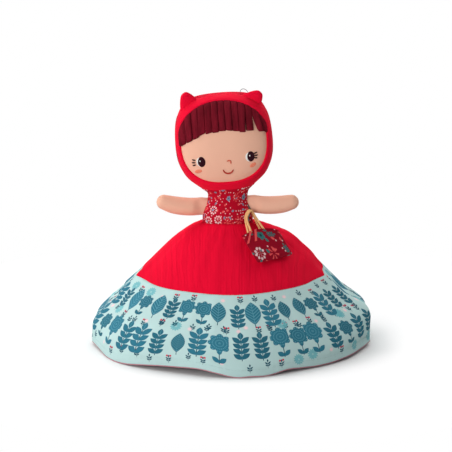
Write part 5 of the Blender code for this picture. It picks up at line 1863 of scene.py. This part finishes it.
basket_print = ditsy_print(
    "dark_red_basket_print", BASKET_RED, BLUSH, LEAF_GREEN, CORAL, 0.731, scale=1.45, dotted=0.15
)
pouch = make_pouch("basket_pouch", basket_print)
print("pouch:", len(pouch.data.polygons), "faces")

# %% [markdown]
# Each handle is one loop of cord from the mouth up round the stitches and back down. The front one
# runs a cord's thickness further out, so they lie side by side.

# %% Handles
def handle_line(side, out):
    """Where one handle runs: from the mouth up round its stitches and back down."""
    flat = unit(np.cross(UP, away))
    flat = -flat if flat[0] < 0 else flat
    origin = knot_place + UP * HANDLE_LOOP
    shift = origin + away * out - UP * HANDLE_LOOP * 0.85 + flat * HANDLE_ASIDE
    feet = np.array(HANDLE_FEET)
    left, right = pouch_point(feet, np.full(2, 0.02), np.full(2, side * (BASKET_BULGE + CLOTH / 2)))
    wide, low = HANDLE_SIDE_SHARES
    return smooth_line(
        [
            left, left - downhill * HANDLE_CORD,
            shift + (-flat * wide - UP * low) * HANDLE_LOOP, shift + UP * HANDLE_LOOP,
            shift + (flat * wide - UP * low) * HANDLE_LOOP, right - downhill * HANDLE_CORD,
            right,
        ],
        10,
    )


handles = {}
for name, side, out in (("back", -1, 0.0), ("front", 1, HANDLE_CORD)):
    handles[name] = grown(
        f"basket_cord_handle_{name}", path_piece([handle_line(side, out)]), CORD_TREE,
        **{"Plies": 3, "Ply Radius": 0.00066, "Twist Radius": 0.00052, "Lay": 0.0052},
        **{"Steps": 190, "Sides": 10}, Material=beige_cord,
    )
    steps = np.diff(handle_line(side, out), axis=0)
    print(name, "handle:", round(np.linalg.norm(steps, axis=1).sum() * 1000, 1), "mm long")

# %% [markdown]
# Two slanted tabs of coral ribbon lie on the front panel, and the stitches at the armpit are wound
# into a small rough ball of thread.

# %% Tabs and knot
TAB_HALF_WIDTH, TAB_END_SHARE, TAB_SHEET, TAB_LIFT = 0.0014, 0.33, 0.0006, 0.0007
# Each tab's place at the mouth and how far it slants, as shares of the pouch's half width
TABS = ((-0.56, -0.42), (-0.29, -0.28))
tabs = []
coral_ribbon = plain_weave("coral_ribbon_tab", CORAL, 0.0004)
for number, (middle, slant) in enumerate(TABS):
    half = TAB_HALF_WIDTH / (BASKET_TOP_WIDTH / 2)
    width_shares = np.linspace(middle - half, middle + half, 9)
    across, down = np.meshgrid(width_shares, np.linspace(-0.02, TAB_END_SHARE, 19))
    across = across + slant * down / TAB_END_SHARE
    front = pouch_point(across, down, pouch_puff(across, down) + CLOTH + TAB_LIFT)
    uv = np.stack([across * BASKET_TOP_WIDTH / 2, down * BASKET_HEIGHT], -1)
    normal = np.broadcast_to(lie, front.shape)
    name = f"ribbon_tab_{number}"
    tabs.append(cloth_shell(name, front, uv, TAB_SHEET, coral_ribbon, closed=False, normal=normal))

knot_rows = []
for polar in np.linspace(0, math.pi, 17):
    turn = full_turn(32)
    x, z = np.sin(polar) * np.cos(turn), np.sin(polar) * np.sin(turn)
    ring = np.stack([x, np.full_like(turn, -math.cos(polar)), z], -1)
    rough = 1 + 0.08 * np.sin(turn * 6 + polar * 4)
    knot_rows.append(ring * KNOT_RADIUS * rough[:, None])
knot_points = np.stack(knot_rows) + knot_place
knot_mesh = grid_mesh("knot", knot_points, cloth_uv(knot_points))
knot = finished("basket_knot_stitches", knot_mesh, grey_thread)
print("tabs:", len(tabs), "and a knot with", len(knot.data.polygons), "faces")

# %% [markdown]
# ## Pieces on the imported model's bodies
# The pieces in the table each ride one body of the imported model: those on the heads, the hem stitches
# and the basket. Every piece hides the parts of the imported model that it stands in for.

# %% Rides and stand-ins
TABLE = (
    (fringe, "upper_head", "burgundy", ("upper_hair_fringe",)),
    (face, "upper_head", "skin", ("upper_face",)), (features, "upper_head", "skin", ()),
    (ears["left"], "upper_head", "red_jersey", ("upper_ear_left",)),
    (ears["right"], "upper_head", "red_jersey", ("upper_ear_right",)),
    (hang_loop, "upper_head", "thread", ("hood_hang_loop",)),
    (lower_fringe, "lower_head", "brown_velour", ("lower_hair_fringe",)),
    (bonnet_face, "lower_head", "skin", ("lower_face",)),
    (lower_features, "lower_head", "skin", ()), (hem_stitches, "hem", "mint_print", ()),
    (pouch, "basket", "dark_print", ("basket_front", "basket_back")),
    (handles["back"], "basket", "cord", ("basket_handle_back",)),
    (handles["front"], "basket", "cord", ("basket_handle_front",)),
    (tabs[0], "basket", "cord", ()), (tabs[1], "basket", "cord", ()),
    (knot, "basket_knot", "thread", ("basket_knot",)),
)
for piece, body, slot, nodes in TABLE:
    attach(piece, body)
    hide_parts(*nodes)

print("pieces on one body each:", len(TABLE))

# %% [markdown]
# The skirt's cloths are kept where they are in the scene, and the parts of the imported model that they
# stand in for are hidden.

# %% Skirt between waist and hem
waist, hem_top = (0.0, 0.0, WAIST_HEIGHT), (0.0, 0.0, HEM_BAND)
LINING_DROP = 0.0035
for piece, slot, shift, nodes in (
    (skirt_gauze, "red_gauze", 0.0, ("skirt_top_front", "skirt_top_back")),
    (skirt_border, "mint_print", 0.0, ("skirt_border_front", "skirt_border_back", "skirt_hem")),
    (skirt_lining, "pink_lining", LINING_DROP, ("skirt_lining",)),
    (seam_stitches, "mint_print", 0.0, ()),
):
    waist[2] - shift
    hem_top[2] - shift
    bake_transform(piece)
    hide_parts(*nodes)

print("from the waist at", waist[2] * 1000, "mm to the hem at", hem_top[2] * 1000, "mm")

# %% [markdown]
# Hoods, bodices and arms are kept where they are in the scene, and the parts of the imported model that
# they stand in for are hidden.

# %% Necks and shoulders
for piece, doll, slot, nodes in (
    (hood, UPPER, "red_jersey", ("upper_hood", "upper_head_stuffing")),
    (bonnet, LOWER, "mint_jersey", ("lower_bonnet", "lower_head_stuffing")),
    (bodice, UPPER, "dark_print", ("upper_bodice", "body_stuffing")),
    (lower_bodice, LOWER, "pink_print", ("lower_bodice",)),
):
    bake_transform(piece)
    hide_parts(*nodes)

SHOULDER_INSIDE, SHOULDER_OUTSIDE = 0.0235, 0.036
for (doll, side_name), (piece, side) in arms.items():
    start = doll.frame @ Vector((side * SHOULDER_INSIDE, 0.0, BODICE_HEIGHT / 2))
    end = doll.frame @ Vector((side * SHOULDER_OUTSIDE, 0.0, BODICE_HEIGHT / 2))
    doll_name = doll.name
    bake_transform(piece)
    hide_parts(f"{doll_name}_arm_{side_name}", f"{doll_name}_arm_{side_name}_stuffing")
print("arms ride:", len(arms))

# %% [markdown]
# A gathered panel's flat width is its area by its length down the skirt. Each skirt cloth's area is
# printed.

# %% Cloth facts
for piece, first, last in (
    (skirt_gauze, 0.0, BORDER_START_SHARE), (skirt_border, BORDER_START_SHARE, 1.0),
    (skirt_lining, 0.0, 1.0),
):
    mesh_area = sum(polygon.area for polygon in piece.data.polygons) / 2
    long = (last - first) * SKIRT_SLANT
    mesh_area / long
    print(piece.name, "area", round(mesh_area * 1e4, 1), "cm2")

# %% [markdown]
# ## Light and floor
# A product photograph on white. Most light comes from a long row of soft boxes behind and above the
# doll, over an even dim surround, with a low fill from the front and one from the left. The floor is
# pale to the camera and dimmer to all other rays, so the doll keeps a soft shadow at its foot and
# isn't washed out from below. Beyond the shadow the floor is plain white, like the background.

# %% White floor
FLOOR_PALE, FLOOR_DIM = (0.96, 0.96, 0.96), (0.55, 0.55, 0.55)
FLOOR_SHADOW_REACH, FLOOR_FADE, FLOOR_HALF = 0.24, 0.16, 6


def background_rays(tree):
    """1 for rays that meet a white background: from the camera, off a gloss or through glass."""
    rays = tree.nodes.new("ShaderNodeLightPath")
    camera, gloss, glass = (
        Field(tree, rays.outputs[f"Is {kind} Ray"]) for kind in ("Camera", "Glossy", "Transmission")
    )
    return (camera + gloss).math("ADD", glass, clamp=True)


def stage_floor():
    """White paper that takes the doll's shadow near it and is plain white to the camera beyond."""
    made = Shades("white_paper_floor", 0.95)
    made.shader.inputs["Specular IOR Level"].default_value = 0.0
    place = made.node("ShaderNodeTexCoord").outputs["Object"]
    far = made.node("ShaderNodeVectorMath", [(0, place)], operation="LENGTH").outputs["Value"]
    beyond = (Field(made.tree, far) - FLOOR_SHADOW_REACH) / FLOOR_FADE
    beyond = beyond.math("ADD", 0.0, clamp=True)
    rays = background_rays(made.tree)
    seen = rays * beyond
    made.colour(made.mix(rays, FLOOR_DIM, FLOOR_PALE))
    paper = made.node("ShaderNodeEmission", Strength=1.0)
    shaders = [(0, seen), (1, made.shader.outputs[0]), (2, paper.outputs[0])]
    mixed = made.node("ShaderNodeMixShader", shaders)
    made.tree.links.new(mixed.outputs[0], made.tree.nodes["Material Output"].inputs[0])
    mesh = bpy.data.meshes.new("floor")
    corners = [(x * FLOOR_HALF, y * FLOOR_HALF, 0) for x, y in ((-1, -1), (1, -1), (1, 1), (-1, 1))]
    mesh.from_pydata(corners, [], [(0, 1, 2, 3)])
    mesh.materials.append(made.material)
    return in_scene("floor", mesh)


floor = stage_floor()
print("floor:", len(floor.data.materials[0].node_tree.nodes), "nodes")

# %% [markdown]
# The surround is worked out from the direction of each ray: a soft bright band at one height on the
# far side, a little stronger to the left.

# %% Lamps and surround
SKY_LEVEL, STRIP_LEVEL, STRIP_HEIGHT, STRIP_SPREAD = 0.24, 4.7, 0.70, 0.14
STRIP_FALL_RIGHT = 0.35


def sun_lamp(name, way, strength, spread):
    """Soft light from very far away, travelling this way."""
    light = bpy.data.lights.new(name, "SUN")
    light.energy, light.angle = strength, math.radians(spread)
    lamp = in_scene(name, light)
    lamp.rotation_euler = Vector(way).to_track_quat("-Z", "Y").to_euler()
    return lamp


def studio_sky():
    """An even dim surround with a long row of soft boxes behind the doll, and white to the camera."""
    sky = bpy.data.worlds.new("studio_surround")
    bpy.context.scene.world = sky
    sky.use_nodes = True
    nodes, links = sky.node_tree.nodes, sky.node_tree.links
    split = nodes.new("ShaderNodeSeparateXYZ")
    links.new(nodes.new("ShaderNodeTexCoord").outputs["Generated"], split.inputs[0])
    x, y, z = (Field(sky.node_tree, way) for way in split.outputs)
    off = (z - STRIP_HEIGHT) / STRIP_SPREAD
    strip = (off * off * -1.0).math("EXPONENT") * (y * 2.0).math("ADD", 0.4, clamp=True)
    level = strip * STRIP_LEVEL * (1.0 - x * STRIP_FALL_RIGHT) + SKY_LEVEL
    rays = background_rays(sky.node_tree)
    level = level * (1.0 - rays) + rays
    links.new(level.socket, nodes["Background"].inputs["Strength"])
    nodes["Background"].inputs["Color"].default_value = (1.0, 1.0, 1.0, 1.0)


studio_sky()
lamps = [
    sun_lamp("front_fill", (0.52, 0.84, -0.16), 2.20, 40.0),
    sun_lamp("left_fill", (0.95, 0.15, -0.25), 0.75, 50.0),
]
bpy.context.scene.view_settings.view_transform = "Standard"
print("lamps:", [lamp.name for lamp in lamps])
